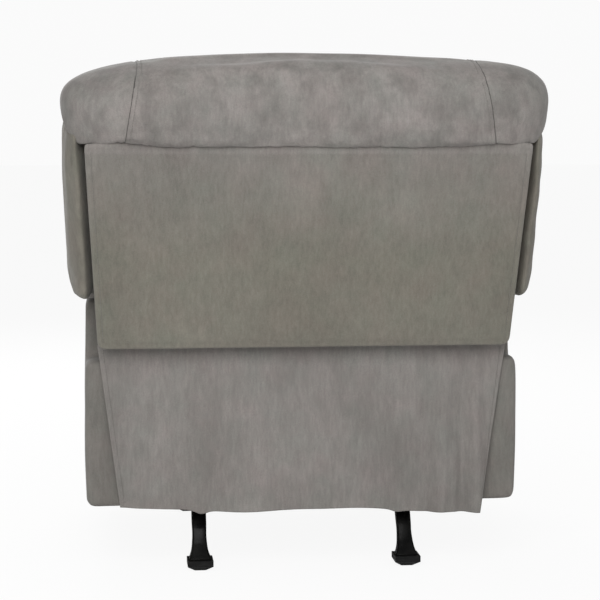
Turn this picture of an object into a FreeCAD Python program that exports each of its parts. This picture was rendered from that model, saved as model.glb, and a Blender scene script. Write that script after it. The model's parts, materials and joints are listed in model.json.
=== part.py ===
"""Rocker recliner, as an assembly of its frame, linkage, springs and upholstery.

Millimetres, +Z up, floor at Z = 0. The sitter faces -Y, so the chair's back is on +Y and the
sitter's left is +X. The left side is modelled and the right side is its mirror image.
"""
import FreeCAD
import Part
import Sketcher
import math
import os
import re

DOC = FreeCAD.newDocument("RockerRecliner")
SHEET = DOC.addObject("Spreadsheet::Sheet", "Dimensions")
AXIS_X = FreeCAD.Vector(1, 0, 0)
AXIS_Y = FreeCAD.Vector(0, 1, 0)
AXIS_Z = FreeCAD.Vector(0, 0, 1)
NODES = []

DIMENSIONS = (
    # Base that stands on the floor
    ("rail_inset", 38, "base rail's centre line inside the seat box's side"),
    ("rail_width", 30, "base rail, outside width"),
    ("rail_height", 25, "base rail, outside height"),
    ("rail_top", 140, "top of the base rail above the floor"),
    ("rail_half_length", 255, "half the length of a base rail"),
    ("rail_wall", 2.5, "steel wall of rails and tubes"),
    ("leg_depth", 26, "leg, front to back"),
    ("leg_foot_width", 46, "flared width of the leg at its foot"),
    ("leg_top_reach", 240, "leg's top from the middle, front to back"),
    ("knee_reach", 270, "leg's crease from the middle, front to back"),
    ("knee_height", 63, "leg's crease above the floor"),
    ("foot_reach", 300, "foot's centre from the middle, front to back"),
    ("glide_width", 52, "foot glide, across"),
    ("glide_band", 12, "straight rim of the foot glide"),
    ("glide_nose", 10, "tapered underside of the foot glide"),
    ("glide_tread", 22, "flat that stands on the floor, across"),
    ("cross_rail_reach", 180, "base cross rail's centre from the middle"),
    # Rocker
    ("rock_angle", 6, "largest rock either way, degrees"),
    ("cam_radius", 320, "radius of the rocker cam"),
    ("cam_half_length", 130, "half the length of the rocker cam"),
    ("cam_thickness", 8, "rocker cam, across"),
    ("tube_size", 25, "square cross tubes, outside"),
    ("tube_top", 190, "top of the cross tubes above the floor"),
    ("tube_reach", 95, "cross tube's centre from the middle"),
    ("bracket_half_length", 50, "half the length of a rocker spring's bracket"),
    ("bracket_reach", 70, "rocker spring's bracket, across"),
    ("bracket_thickness", 4, "rocker spring's bracket, thick"),
    ("spring_floor", 122, "top of the lower spring bracket"),
    ("spring_ceiling", 176, "underside of the upper spring bracket"),
    ("spring_radius", 16, "rocker spring's mean radius"),
    ("spring_wire", 7, "rocker spring's wire diameter"),
    ("spring_reach", 27, "rocker spring's axis from the middle, front to back"),
    ("spring_inset", 34, "rocker spring's axis from the rail's inner face"),
    # Pivots and fits
    ("pin_radius", 5, "linkage pin radius"),
    ("pivot_clearance", 0.08, "radial clearance of a running pin"),
    ("soft_clearance", 0.3, "gap between soft pieces and their neighbours"),
    ("link_width", 22, "width of a link bar"),
    ("link_thickness", 4, "thickness of plates and link bars"),
    ("layer_gap", 2, "gap from one layer of links to the next"),
    ("stud_head_radius", 8, "head of a pivot stud"),
    ("stud_head", 1, "thickness of a stud's head"),
    # Seat box
    ("seat_box_half", 250, "half the outside width of the seat box"),
    ("board", 25, "thickness of the wooden boards"),
    ("seat_box_low", 290, "underside of the seat box"),
    ("seat_box_high", 385, "top of the seat box"),
    ("seat_box_front", 385, "front of the seat box, ahead of the middle"),
    ("seat_box_rear", 75, "back of the seat box, behind the middle"),
    ("zigzag_wire", 4.4, "seat spring's wire diameter"),
    ("zigzag_half", 16, "half a straight run of the zigzag seat spring"),
    ("zigzag_spacing", 85, "seat springs, side by side"),
    ("cushion_low", 438, "underside of the seat cushion"),
    ("cushion_high", 500, "edge height of the seat cushion's top"),
    ("cushion_crown", 10, "crown of the seat cushion"),
    ("cushion_overhang", 16, "seat and lumbar cushions beyond the seat box's side"),
    ("cushion_corner", 14, "corner radius of the seat and lumbar cushions"),
    ("cushion_swell", 4, "swell of the seat cushion's sides"),
    ("cushion_draw", 16, "how far the seat cushion's ends are drawn in"),
    ("cushion_front", 456, "front of the seat cushion, ahead of the middle"),
    ("cushion_rear", 90, "back of the seat cushion, behind the middle"),
    # Footrest linkage
    ("rear_link_forward", 320, "rear footrest link's fixed pivot, ahead of the middle"),
    ("rear_link_height", 350, "rear footrest link's fixed pivot above the floor"),
    ("link_length", 225, "footrest links, pivot to pivot"),
    ("link_rest_angle", 108, "footrest links at rest, degrees below the forward direction"),
    ("coupler_angle", 33, "coupler's slope, degrees above the forward direction"),
    ("coupler_spacing", 51, "between the two link pivots on the coupler"),
    ("coupler_length", 182, "coupler, first link pivot to footrest pivot"),
    ("crank_length", 40, "control cranks of the front link and of the footrest"),
    ("drive_offset", 50, "drive crank, and the drive pin's distance along the front link"),
    ("shaft_forward", 120, "torque tube, ahead of the middle"),
    ("shaft_height", 330, "torque tube above the floor"),
    ("shaft_radius", 9.5, "torque tube, outside radius"),
    ("plate_margin", 22, "metal around the pivots of a plate"),
    ("plate_low", 160, "lower edge of the mechanism plate"),
    # Footrest
    ("board_thin", 14, "footrest board, thick"),
    ("footrest_board_back", 418, "back of the footrest board, ahead of the middle"),
    ("footrest_low", 152, "lower edge of the footrest pad"),
    ("footrest_high", 432, "upper edge of the footrest pad"),
    ("footrest_overhang", 12, "footrest pad beyond the seat box's side"),
    ("footrest_padding", 42, "footrest pad's edge thickness"),
    ("footrest_crown", 6, "crown of the footrest pad"),
    ("footrest_draw", 12, "corner radius of the footrest pad, and how far its ends are drawn in"),
    # Arms
    ("arm_gap", 25, "gap from the seat box's side to an arm"),
    ("arm_width", 168, "arm, inner face to outer face"),
    ("arm_bulge", 3, "swell of the arm's sides"),
    ("arm_low", 131, "underside of an arm"),
    ("arm_high", 545, "top of an arm under its pad"),
    ("arm_front", 455, "front of an arm, ahead of the middle"),
    ("arm_shoulder", 222, "rear end of an arm's upper part, behind the middle"),
    ("arm_rear", 300, "rear end of an arm's lower part, behind the middle"),
    ("arm_step", 430, "height of the step at the arm's rear end"),
    ("arm_padding", 24, "padding between the arm's inner face and its board"),
    ("arm_end_padding", 30, "padding ahead of, behind and above the arm's board"),
    ("arm_heel_padding", 8, "padding behind the lower part of the arm's board"),
    ("pad_high", 588, "edge height of the arm pad's top"),
    ("pad_crown", 12, "crown of the arm pad"),
    ("pad_corner", 14, "corner radius of the arm pad"),
    ("pad_draw", 12, "how far the arm pad's ends are drawn in"),
    ("pad_overhang", 2, "arm pad beyond the arm's sides and rear end"),
    ("pad_nose", 6, "arm pad beyond the arm's front"),
    ("arm_corner", 10, "radius of the arm's long edges"),
    ("arm_front_round", 24, "depth of the arm's rounded front"),
    ("arm_front_draw", 12, "how far the arm's front is drawn in"),
    ("arm_rear_round", 10, "depth of the rounding at the arm's shoulder"),
    ("arm_rear_draw", 4, "how far the arm's shoulder is drawn in"),
    ("heel_round", 16, "depth of the rounding at the arm's heel"),
    ("heel_draw", 8, "how far the arm's heel is drawn in"),
    ("arm_bolt_radius", 8, "spacer bolts that carry an arm"),
    ("arm_bolt_low", 200, "lower arm bolts above the floor"),
    ("arm_bolt_high", 350, "upper arm bolts above the floor"),
    ("arm_bolt_rear", 110, "rear arm bolts, behind the middle"),
    # Lever
    ("lever_length", 165, "lever handle, shaft to tip"),
    ("lever_width", 24, "lever handle's bar, across"),
    ("lever_thickness", 16, "lever handle's bar, thick"),
    ("lever_standoff", 22, "finger room between the arm's plate and the lever's bar"),
    ("lever_drop", 8, "lever at rest, degrees below the forward direction"),
    ("hub_radius", 18, "lever's hub"),
    ("bezel_radius", 28, "round plate behind the lever"),
    ("bezel_thickness", 3, "round plate behind the lever, thick"),
    # Back, in its own leaning frame: out is behind the hinge, up is along the back
    ("hinge_rear", 165, "back hinge, behind the middle"),
    ("hinge_height", 400, "back hinge above the floor"),
    ("lean", 14.2, "lean of the back at rest, degrees"),
    ("frame_out", 95, "front of the back's wooden frame"),
    ("frame_depth", 54, "back's wooden frame, front to back"),
    ("frame_low", 150, "lower end of the back's stiles"),
    ("frame_drop", 2, "top of the back's wooden frame below the roll's seam"),
    ("stile_width", 45, "stile, across"),
    ("bottom_rail_up", 180, "lower edge of the back's bottom rail"),
    ("wing_offset", 154.5, "inner face of a wing beyond the seat box's side"),
    ("wing_half", 36, "half the width of a wing"),
    ("wing_low", 216, "lower end of a wing"),
    ("wing_corner", 16, "radius of a wing's upright edges"),
    ("wing_round", 70, "height of the rounding at a wing's lower end"),
    ("wing_draw", 18, "how far a wing's lower end is drawn in"),
    ("wing_front", 90, "wing's front, ahead of the hinge"),
    ("wing_rear", 146, "wing's rear, behind the hinge"),
    ("panel_thickness", 9, "outside back panel at its edges"),
    ("panel_crown", 5, "swell of the outside back panel"),
    ("panel_corner", 3, "radius of the outside back panel's edges"),
    ("panel_low", 97.5, "lower edge of the outside back panel"),
    ("panel_low_overhang", 165, "panel's lower corner beyond the seat box's side"),
    ("panel_high_overhang", 187, "panel's upper corner beyond the seat box's side"),
    ("seam_up", 512, "height of the seam under the headrest roll"),
    ("roll_height", 156, "headrest roll's edge height above its seam"),
    ("roll_crown", 12, "crown of the headrest roll"),
    ("roll_corner", 60, "corner radius of the headrest roll"),
    ("roll_swell", 6, "swell of the headrest roll's front and rear"),
    ("roll_front", 80, "headrest roll's front, ahead of the hinge"),
    ("roll_rear", 178, "headrest roll's rear, behind the hinge"),
    ("roll_seam_offset", 98, "roll's cap seam beyond the seat box's side"),
    ("roll_overhang", 231, "roll's end beyond the seat box's side"),
    ("lumbar_low", 42, "lower end of the lumbar cushion"),
    ("lumbar_high", 230, "upper end of the lumbar cushion"),
    ("lumbar_back", 25, "lumbar cushion's back, ahead of the hinge"),
    ("lumbar_front", 72, "lumbar cushion's front, ahead of the hinge"),
    ("lumbar_crown", 8, "crown of the lumbar cushion"),
    ("lumbar_draw", 14, "how far the lumbar cushion's ends are drawn in"),
    ("upper_back", 60, "upper back cushion's back, behind the hinge"),
    ("upper_front", 95, "upper back cushion's front, ahead of the hinge"),
    ("upper_corner", 16, "corner radius of the upper back cushion"),
    ("upper_crown", 10, "crown of the upper back cushion, and how far its ends are drawn in"),
    ("webbing_width", 60, "back webbing strap, across"),
    ("webbing_spacing", 100, "back webbing straps, side by side"),
    ("webbing_thickness", 2, "back webbing strap, thick"),
    # Rear rail and the loose cloth that hangs from it
    ("rear_rail_back", 300, "back of the rear rail, behind the middle"),
    ("rear_rail_depth", 20, "rear rail, front to back"),
    ("rear_rail_low", 380, "underside of the rear rail"),
    ("rear_rail_high", 440, "top of the rear rail"),
    ("flap_high", 462, "upper edge of the rear flap"),
    ("flap_low", 125, "hem of the rear flap"),
    ("flap_high_overhang", 173, "flap's upper corner beyond the seat box's side"),
    ("flap_low_overhang", 122, "flap's lower corner beyond the seat box's side"),
    ("flap_thickness", 3, "rear flap's cloth and lining"),
    ("flap_drift", 4, "how far the hem hangs behind the rear rail"),
    ("flap_fold", 5, "depth of the folds at the hem"),
)

for row, (alias, number, note) in enumerate(DIMENSIONS, 1):
    SHEET.set(f"A{row}", note)
    SHEET.set(f"B{row}", str(number))
    SHEET.setAlias(f"B{row}", alias)
DOC.recompute()

ALIASES = {alias for alias, number, note in DIMENSIONS}
SIZE = {alias: float(getattr(SHEET, alias)) for alias in ALIASES}

# Widths that follow the seat box, and heights that follow the roll's seam
FOLLOWING = {
    "rail_offset": ("seat_box_half", "-", "rail_inset"),
    "arm_inner": ("seat_box_half", "+", "arm_gap"),
    "cushion_half": ("seat_box_half", "+", "cushion_overhang"),
    "footrest_half": ("seat_box_half", "+", "footrest_overhang"),
    "wing_inner": ("seat_box_half", "+", "wing_offset"),
    "panel_half_low": ("seat_box_half", "+", "panel_low_overhang"),
    "panel_half_high": ("seat_box_half", "+", "panel_high_overhang"),
    "roll_centre_half": ("seat_box_half", "+", "roll_seam_offset"),
    "roll_half": ("seat_box_half", "+", "roll_overhang"),
    "flap_half_high": ("seat_box_half", "+", "flap_high_overhang"),
    "flap_half_low": ("seat_box_half", "+", "flap_low_overhang"),
    "frame_high": ("seam_up", "-", "frame_drop"),
    "roll_high": ("seam_up", "+", "roll_height"),
}
for name, (base, sign, offset) in FOLLOWING.items():
    SIZE[name] = SIZE[base] + (SIZE[offset] if sign == "+" else -SIZE[offset])


# Parametric helpers

def sized(text):
    """Return an expression in which each named size points at its cell of the sheet."""
    def cell(word):
        name = word[0]
        if name in FOLLOWING:
            base, sign, offset = FOLLOWING[name]
            return f"(Dimensions.{base} {sign} Dimensions.{offset})"
        return f"Dimensions.{name}" if name in ALIASES else name

    return re.sub(r"[a-z_]+", cell, text)


def bind(item, **expressions):
    """Bind properties of an object to expressions in the named sizes."""
    for name, text in expressions.items():
        item.setExpression(name, sized(text))


def place(item, x="0", y="0", z="0", axis=None, angle=None):
    """Bind an object's position, and its turn about one axis where an angle is given."""
    if axis is not None:
        item.Placement = FreeCAD.Placement(FreeCAD.Vector(), FreeCAD.Rotation(axis, 90))
    for name, text in (("x", x), ("y", y), ("z", z)):
        item.setExpression(f"Placement.Base.{name}", sized(text))
    if angle is not None:
        item.setExpression("Placement.Rotation.Angle", sized(angle))
    return item


def box(length, width, height, x, y, z):
    """Make a block from its three lengths and its lowest corner."""
    item = DOC.addObject("Part::Box", "Block")
    bind(item, Length=length, Width=width, Height=height)
    return place(item, x, y, z)


def round_x(radius, length, x, y="0", z="0"):
    """Make a cylinder that runs along +X from its start point."""
    item = DOC.addObject("Part::Cylinder", "Round")
    bind(item, Radius=radius, Height=length)
    return place(item, x, y, z, AXIS_Y)


def wedge(low, high, z_low, z_high):
    """Make an upright tapered block between two rectangles given as x and y limits."""
    item = DOC.addObject("Part::Wedge", "Taper")
    bind(item, Xmin=low[0], Xmax=low[1], Zmin=f"-({low[3]})", Zmax=f"-({low[2]})")
    bind(item, X2min=high[0], X2max=high[1], Z2min=f"-({high[3]})", Z2max=f"-({high[2]})")
    bind(item, Ymin=z_low, Ymax=z_high)
    return place(item, axis=AXIS_X)


def fuse(*items):
    """Join overlapping or touching pieces into one solid."""
    item = DOC.addObject("Part::MultiFuse", "Joined")
    item.Shapes = list(items)
    item.Refine = True
    return item


def cut(base, *tools):
    """Cut tools out of a piece."""
    item = DOC.addObject("Part::Cut", "Cut")
    item.Base = base
    item.Tool = tools[0] if len(tools) == 1 else group(*tools)
    item.Refine = True
    return item


def group(*items):
    """Keep separate solids together as one object."""
    item = DOC.addObject("Part::Compound", "Group")
    item.Links = list(items)
    return item


def mirror(item, normal=AXIS_X):
    """Make the mirror image of a piece on the other side of the middle plane."""
    image = DOC.addObject("Part::Mirroring", "Mirrored")
    image.Source = item
    image.Normal = normal
    return image


def node(label, item):
    """Name a finished sub-part."""
    item.Label = label
    NODES.append(item)
    return item


def pair(label, left):
    """Name a left piece and its mirror image as two sub-parts."""
    node(f"{label}_left", left)
    return node(f"{label}_right", mirror(left))


def pair_group(label, left):
    """Name a left piece and its mirror image as one sub-part of two solids."""
    return node(label, group(left, mirror(left)))


def sketch_on(body, role):
    """Start a sketch on one of a body's own origin planes."""
    sketch = body.newObject("Sketcher::SketchObject", "Profile")
    plane = next(feature for feature in body.Origin.OriginFeatures if feature.Role == role)
    sketch.AttachmentSupport = (plane, [""])
    sketch.MapMode = "FlatFace"
    return sketch


def bind_point(sketch, geometry, point, across, up):
    """Bind one sketch point to its two coordinates."""
    for kind, text in (("DistanceX", across), ("DistanceY", up)):
        index = sketch.addConstraint(Sketcher.Constraint(kind, -1, 1, geometry, point, 1.0))
        sketch.setExpression(f"Constraints[{index}]", sized(text))


def profile(body, role, corners, holes=()):
    """Draw a straight-sided outline with round holes, every size bound to the sheet."""
    sketch = sketch_on(body, role)
    count = len(corners)
    turns = [2 * math.pi * index / count for index in range(count)]
    start = [FreeCAD.Vector(100 * math.cos(turn), 100 * math.sin(turn), 0) for turn in turns]
    for index in range(count):
        sketch.addGeometry(Part.LineSegment(start[index], start[(index + 1) % count]))
    for index in range(count):
        sketch.addConstraint(Sketcher.Constraint("Coincident", index, 2, (index + 1) % count, 1))
    for index, (across, up) in enumerate(corners):
        bind_point(sketch, index, 1, across, up)
    for across, up, radius in holes:
        circle = sketch.addGeometry(Part.Circle(FreeCAD.Vector(1, 1, 0), AXIS_Z, 2))
        bind_point(sketch, circle, 3, across, up)
        index = sketch.addConstraint(Sketcher.Constraint("Radius", circle, 2))
        sketch.setExpression(f"Constraints[{index}]", sized(radius))
    return sketch


def plate(corners, holes, thickness, x):
    """Make a flat plate that stands across X, from its outline in Y and Z."""
    body = DOC.addObject("PartDesign::Body", "Plate")
    pad = body.newObject("PartDesign::Pad", "Thickness")
    pad.Profile = profile(body, "YZ_Plane", corners, holes)
    bind(pad, Length=thickness)
    body.Tip = pad
    place(body, x)
    return body


def link(holes, pins, length, x, y, z, angle, reach="0"):
    """Make a straight bar across X with round ends, pin holes and fixed pins.

    The bar starts at its first pivot and points at the angle above the forward direction. Its pins
    reach that far towards the middle plane.
    """
    discs = [round_x("link_width / 2", "link_thickness", "0", "0", at) for at in ("0", length)]
    bar = fuse(box("link_thickness", "link_width", length, "0", "-link_width / 2", "0"), *discs)
    if holes:
        bar = cut(bar, *[round_x(HOLE, "link_thickness", "0", "0", at) for at in holes])
    if pins:
        studs = [round_x("pin_radius", f"{reach} + link_thickness", f"-({reach})", "0", at) for at in pins]
        bar = fuse(bar, *studs)
    return place(bar, x, y, z, AXIS_X, f"90 - ({angle})")


# Shared places of the linkage

HOLE = "pin_radius + pivot_clearance"
PLATE_X = "seat_box_half"
LAYER_ONE = "seat_box_half + link_thickness + layer_gap"
LAYER_TWO = "seat_box_half + 2 * link_thickness + 2 * layer_gap"
REST = "-link_rest_angle"
DOWN_Y = "cos(link_rest_angle)"
DOWN_Z = "sin(link_rest_angle)"
SLOPE_Y = "cos(coupler_angle)"
SLOPE_Z = "sin(coupler_angle)"
P1 = ("(-rear_link_forward)", "rear_link_height")
P2 = (f"({P1[0]} - coupler_spacing * {SLOPE_Y})", f"({P1[1]} + coupler_spacing * {SLOPE_Z})")
Q1 = (f"({P1[0]} - link_length * {DOWN_Y})", f"({P1[1]} - link_length * {DOWN_Z})")
Q2 = (f"({P2[0]} - link_length * {DOWN_Y})", f"({P2[1]} - link_length * {DOWN_Z})")
CRANK = (f"({Q2[0]} - crank_length * {DOWN_Y})", f"({Q2[1]} - crank_length * {DOWN_Z})")
TOE = (f"({Q1[0]} - coupler_length * {SLOPE_Y})", f"({Q1[1]} + coupler_length * {SLOPE_Z})")
TOE_CRANK = (f"({TOE[0]} - crank_length * {DOWN_Y})", f"({TOE[1]} - crank_length * {DOWN_Z})")
SHAFT = ("(-shaft_forward)", "shaft_height")
DRIVE = (f"({SHAFT[0]} - drive_offset * {DOWN_Y})", f"({SHAFT[1]} - drive_offset * {DOWN_Z})")
HINGE = ("hinge_rear", "hinge_height")
ARM_BOLTS = [(y, z) for y in ("0", "arm_bolt_rear") for z in ("arm_bolt_low", "arm_bolt_high")]


# Base

def make_base():
    """Two channel rails on splayed legs, joined by two cross rails."""
    inner = "(rail_offset - rail_width / 2)"
    outer = "(rail_offset + rail_width / 2)"
    low = "(rail_top - rail_height)"
    rail = DOC.addObject("PartDesign::Body", "Rail")
    pad = rail.newObject("PartDesign::Pad", "Run")
    pad.Profile = profile(rail, "XZ_Plane", [
        (inner, low), (inner, "rail_top"), (outer, "rail_top"), (outer, low),
        (f"{outer} - rail_wall", low), (f"{outer} - rail_wall", "rail_top - rail_wall"),
        (f"{inner} + rail_wall", "rail_top - rail_wall"), (f"{inner} + rail_wall", low)])
    bind(pad, Length="2 * rail_half_length")
    rail.Tip = pad
    place(rail, y="rail_half_length")
    pair("base_rail", rail)

    def slab(half, reach):
        return (f"rail_offset - ({half})", f"rail_offset + ({half})",
                f"{reach} - leg_depth / 2", f"{reach} + leg_depth / 2")

    shin = wedge(slab("rail_width / 2", "knee_reach"), slab("rail_width / 2", "leg_top_reach"),
                 "knee_height", low)
    flare = wedge(slab("leg_foot_width / 2", "foot_reach"), slab("rail_width / 2", "knee_reach"),
                  "glide_band + glide_nose", "knee_height")
    leg = fuse(shin, flare)
    pair("rear_leg", leg)
    pair("front_leg", mirror(leg, AXIS_Y))

    for name, sign in (("front", "-"), ("rear", "")):
        corner = f"{sign}cross_rail_reach - rail_height / 2"
        tube = box(f"2 * {inner}", "rail_height", "rail_height", f"-{inner}", corner, low)
        bore = box(f"2 * {inner}", "rail_height - 2 * rail_wall", "rail_height - 2 * rail_wall",
                   f"-{inner}", f"{corner} + rail_wall", f"{low} + rail_wall")
        node(f"base_cross_rail_{name}", cut(tube, bore))

    def glide_slab(width):
        return (f"rail_offset - {width} / 2", f"rail_offset + {width} / 2",
                f"foot_reach - {width} / 2", f"foot_reach + {width} / 2")

    rim = wedge(glide_slab("glide_width"), glide_slab("glide_width"), "glide_nose", "glide_nose + glide_band")
    nose = wedge(glide_slab("glide_tread"), glide_slab("glide_width"), "0", "glide_nose")
    rear = fuse(rim, nose)
    front = mirror(rear, AXIS_Y)
    node("foot_glides", group(rear, mirror(rear), front, mirror(front)))

    foot = box("bracket_reach", "2 * bracket_half_length", "bracket_thickness", f"{inner} - bracket_reach",
               "-bracket_half_length", "spring_floor - bracket_thickness")
    pair_group("spring_base_brackets", foot)


def biarc(start, start_way, end, end_way):
    """Join two points by two arcs that leave and arrive along the given unit directions."""
    chord = end - start
    ways = start_way + end_way
    spread = 2 * (1 - start_way.dot(end_way))
    reach = chord.dot(ways)
    span = (math.sqrt(reach ** 2 + spread * chord.dot(chord)) - reach) / spread
    joint = (start + end + (start_way - end_way) * span) * 0.5
    return arc_along(start, start_way, joint) + arc_along(end, end_way * -1, joint)


def arc_along(start, way, end):
    """Make the one arc that leaves a point along a direction and ends at another point."""
    chord = end - start
    side = chord - way * chord.dot(way)
    side.normalize()
    radius = chord.dot(chord) / (2 * chord.dot(side))
    centre = start + side * radius
    middle = (start - centre) + (end - centre)
    middle.normalize()
    return [Part.Arc(start, centre + middle * radius, end).toShape()]


def sweep_round(edges, start, way, diameter):
    """Sweep a round wire along joined edges into one solid."""
    circle = Part.Wire(Part.Circle(start, way, diameter / 2).toShape())
    return Part.Wire(Part.__sortEdges__(edges)).makePipeShell([circle], True, False)


def make_coil(x, y):
    """Coil one rocker spring between its two brackets and print its least gap to itself."""
    wire = SIZE["spring_wire"]
    radius = SIZE["spring_radius"]
    turns = 4
    low = SIZE["spring_floor"] + wire / 2 + SIZE["soft_clearance"]
    rise = SIZE["spring_ceiling"] - wire / 2 - SIZE["soft_clearance"] - low
    points = []
    ways = []
    for quarter in range(4 * turns + 1):
        turn = quarter * math.pi / 2
        height = low + rise * quarter / (4 * turns)
        points.append(FreeCAD.Vector(x + radius * math.cos(turn), y + radius * math.sin(turn), height))
        way = FreeCAD.Vector(-radius * math.sin(turn), radius * math.cos(turn), rise / (2 * math.pi * turns))
        way.normalize()
        ways.append(way)
    edges = []
    for index in range(4 * turns):
        edges += biarc(points[index], ways[index], points[index + 1], ways[index + 1])
    gap = rise / turns * radius / math.hypot(radius, rise / (2 * math.pi * turns)) - wire
    print(f"rocker spring: {turns} turns, least gap between turns {gap:.2f} mm")
    return sweep_round(edges, points[0], ways[0], wire)


def shape_node(label, shape, at=FreeCAD.Placement()):
    """Name a sub-part whose solid is drawn by code, and put it in its place."""
    item = DOC.addObject("Part::Feature", label)
    item.Shape = shape
    item.Placement = at
    return node(label, item)


def make_rocker_springs():
    """Four coil springs that hold the chair level on its base."""
    across = SIZE["rail_offset"] - SIZE["rail_width"] / 2 - SIZE["spring_inset"]
    reach = SIZE["spring_reach"]
    coils = [make_coil(x, y) for x in (-across, across) for y in (-reach, reach)]
    shape_node("rocker_springs", Part.makeCompound(coils))


# Rocking chassis

def make_chassis():
    """Rocker cams on two cross tubes between the mechanism plates, and the seat box inside them."""
    gap = "cam_radius * (1 - cos(rock_angle)) + soft_clearance"
    disc = round_x("cam_radius", "cam_thickness", "rail_offset - cam_thickness / 2", "0",
                   f"rail_top + {gap} + cam_radius")
    reach = "rail_offset - cam_thickness / 2"
    slab = box("cam_thickness", "2 * cam_half_length", "tube_top - rail_top", reach, "-cam_half_length",
               "rail_top")
    blank = DOC.addObject("Part::Common", "CamBlank")
    blank.Base = slab
    blank.Tool = disc
    tubes = []
    for name, sign in (("front", "-"), ("rear", "")):
        corner = f"{sign}tube_reach - tube_size / 2"
        outside = box("2 * seat_box_half", "tube_size", "tube_size", "-seat_box_half", corner,
                      "tube_top - tube_size")
        bore = box("2 * seat_box_half", "tube_size - 2 * rail_wall", "tube_size - 2 * rail_wall",
                   "-seat_box_half", f"{corner} + rail_wall", "tube_top - tube_size + rail_wall")
        node(f"cross_tube_{name}", cut(outside, bore))
        tubes.append(outside)
    pair("rocker_cam", cut(blank, *tubes))

    rail_inner = "rail_offset - rail_width / 2"
    hanger = box(f"{reach} - ({rail_inner} - bracket_reach)", "2 * bracket_half_length", "bracket_thickness",
                 f"{rail_inner} - bracket_reach", "-bracket_half_length", "spring_ceiling")
    pair_group("spring_top_brackets", hanger)

    front = f"{P2[0]} - plate_margin"
    top = f"{P2[1]} + plate_margin"
    waist = "seat_box_low + plate_margin"
    rear = "hinge_rear + plate_margin"
    crown = "hinge_height + plate_margin"
    foot_front = "-tube_reach - tube_size / 2"
    foot_rear = "arm_bolt_rear + plate_margin"
    corners = [(front, f"{P1[1]} - plate_margin"), (front, top), ("hinge_rear - 2 * plate_margin", top),
               ("hinge_rear - plate_margin", crown), (rear, crown), (rear, "hinge_height - plate_margin"),
               (foot_rear, waist), (foot_rear, "plate_low"), (foot_front, "plate_low"), (foot_front, waist)]
    shaft_hole = (*SHAFT, "shaft_radius + pivot_clearance")
    pair("mechanism_plate", plate(corners, [shaft_hole], "link_thickness", PLATE_X))

    length = "seat_box_front + seat_box_rear"
    height = "seat_box_high - seat_box_low"
    side = box("board", length, height, "seat_box_half - board", "-seat_box_front", "seat_box_low")
    bore = round_x("shaft_radius + layer_gap", "board", "seat_box_half - board", *SHAFT)
    pair("seat_side_rail", cut(side, bore))
    for name, y in (("front", "-seat_box_front"), ("rear", "seat_box_rear - board")):
        node(f"seat_{name}_rail", box("2 * (seat_box_half - board)", "board", height,
                                      "board - seat_box_half", y, "seat_box_low"))

    studs = []
    for y, z in (P1, P2, HINGE):
        shank = round_x("pin_radius", "2 * layer_gap + link_thickness - stud_head",
                        f"{PLATE_X} + link_thickness", y, z)
        head = round_x("stud_head_radius", "stud_head",
                       f"{LAYER_TWO} - layer_gap / 2 - stud_head / 2", y, z)
        studs.append(fuse(shank, head))
    studs += [mirror(stud) for stud in studs]
    node("pivot_studs", group(*studs))

    bolts = [round_x("arm_bolt_radius", "arm_inner + arm_padding - seat_box_half - link_thickness",
                     f"{PLATE_X} + link_thickness", y, z) for y, z in ARM_BOLTS]
    node("arm_bolts", group(*bolts, *[mirror(bolt) for bolt in bolts]))

    reach = "(arm_inner + arm_padding)"
    node("rear_rail", box(f"2 * {reach}", "rear_rail_depth", "rear_rail_high - rear_rail_low", f"-{reach}",
                          "rear_rail_back - rear_rail_depth", "rear_rail_low"))
    return bolts


def make_seat_springs():
    """Five zigzag springs from the front rail of the seat box to its rear rail."""
    wire = SIZE["zigzag_wire"]
    half = SIZE["zigzag_half"]
    start = SIZE["board"] / 2 - SIZE["seat_box_front"]
    end = SIZE["seat_box_rear"] - SIZE["board"] / 2
    height = SIZE["seat_box_high"] + wire / 2
    runs = 16
    step = (end - start) / runs
    springs = []
    for place_across in range(-2, 3):
        middle = place_across * SIZE["zigzag_spacing"]
        edges = []
        for run in range(runs + 1):
            way = 1 if run % 2 == 0 else -1
            y = start + run * step
            near = FreeCAD.Vector(middle - way * half, y, height)
            far = FreeCAD.Vector(middle + way * half, y, height)
            edges.append(Part.LineSegment(near, far).toShape())
            if run < runs:
                bend = FreeCAD.Vector(middle + way * (half + step / 2), y + step / 2, height)
                beyond = FreeCAD.Vector(middle + way * half, y + step, height)
                edges.append(Part.Arc(far, bend, beyond).toShape())
        first = FreeCAD.Vector(middle - half, start, height)
        springs.append(sweep_round(edges, first, AXIS_X, wire))
    shape_node("seat_springs", Part.makeCompound(springs))


# Handle and footrest

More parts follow.
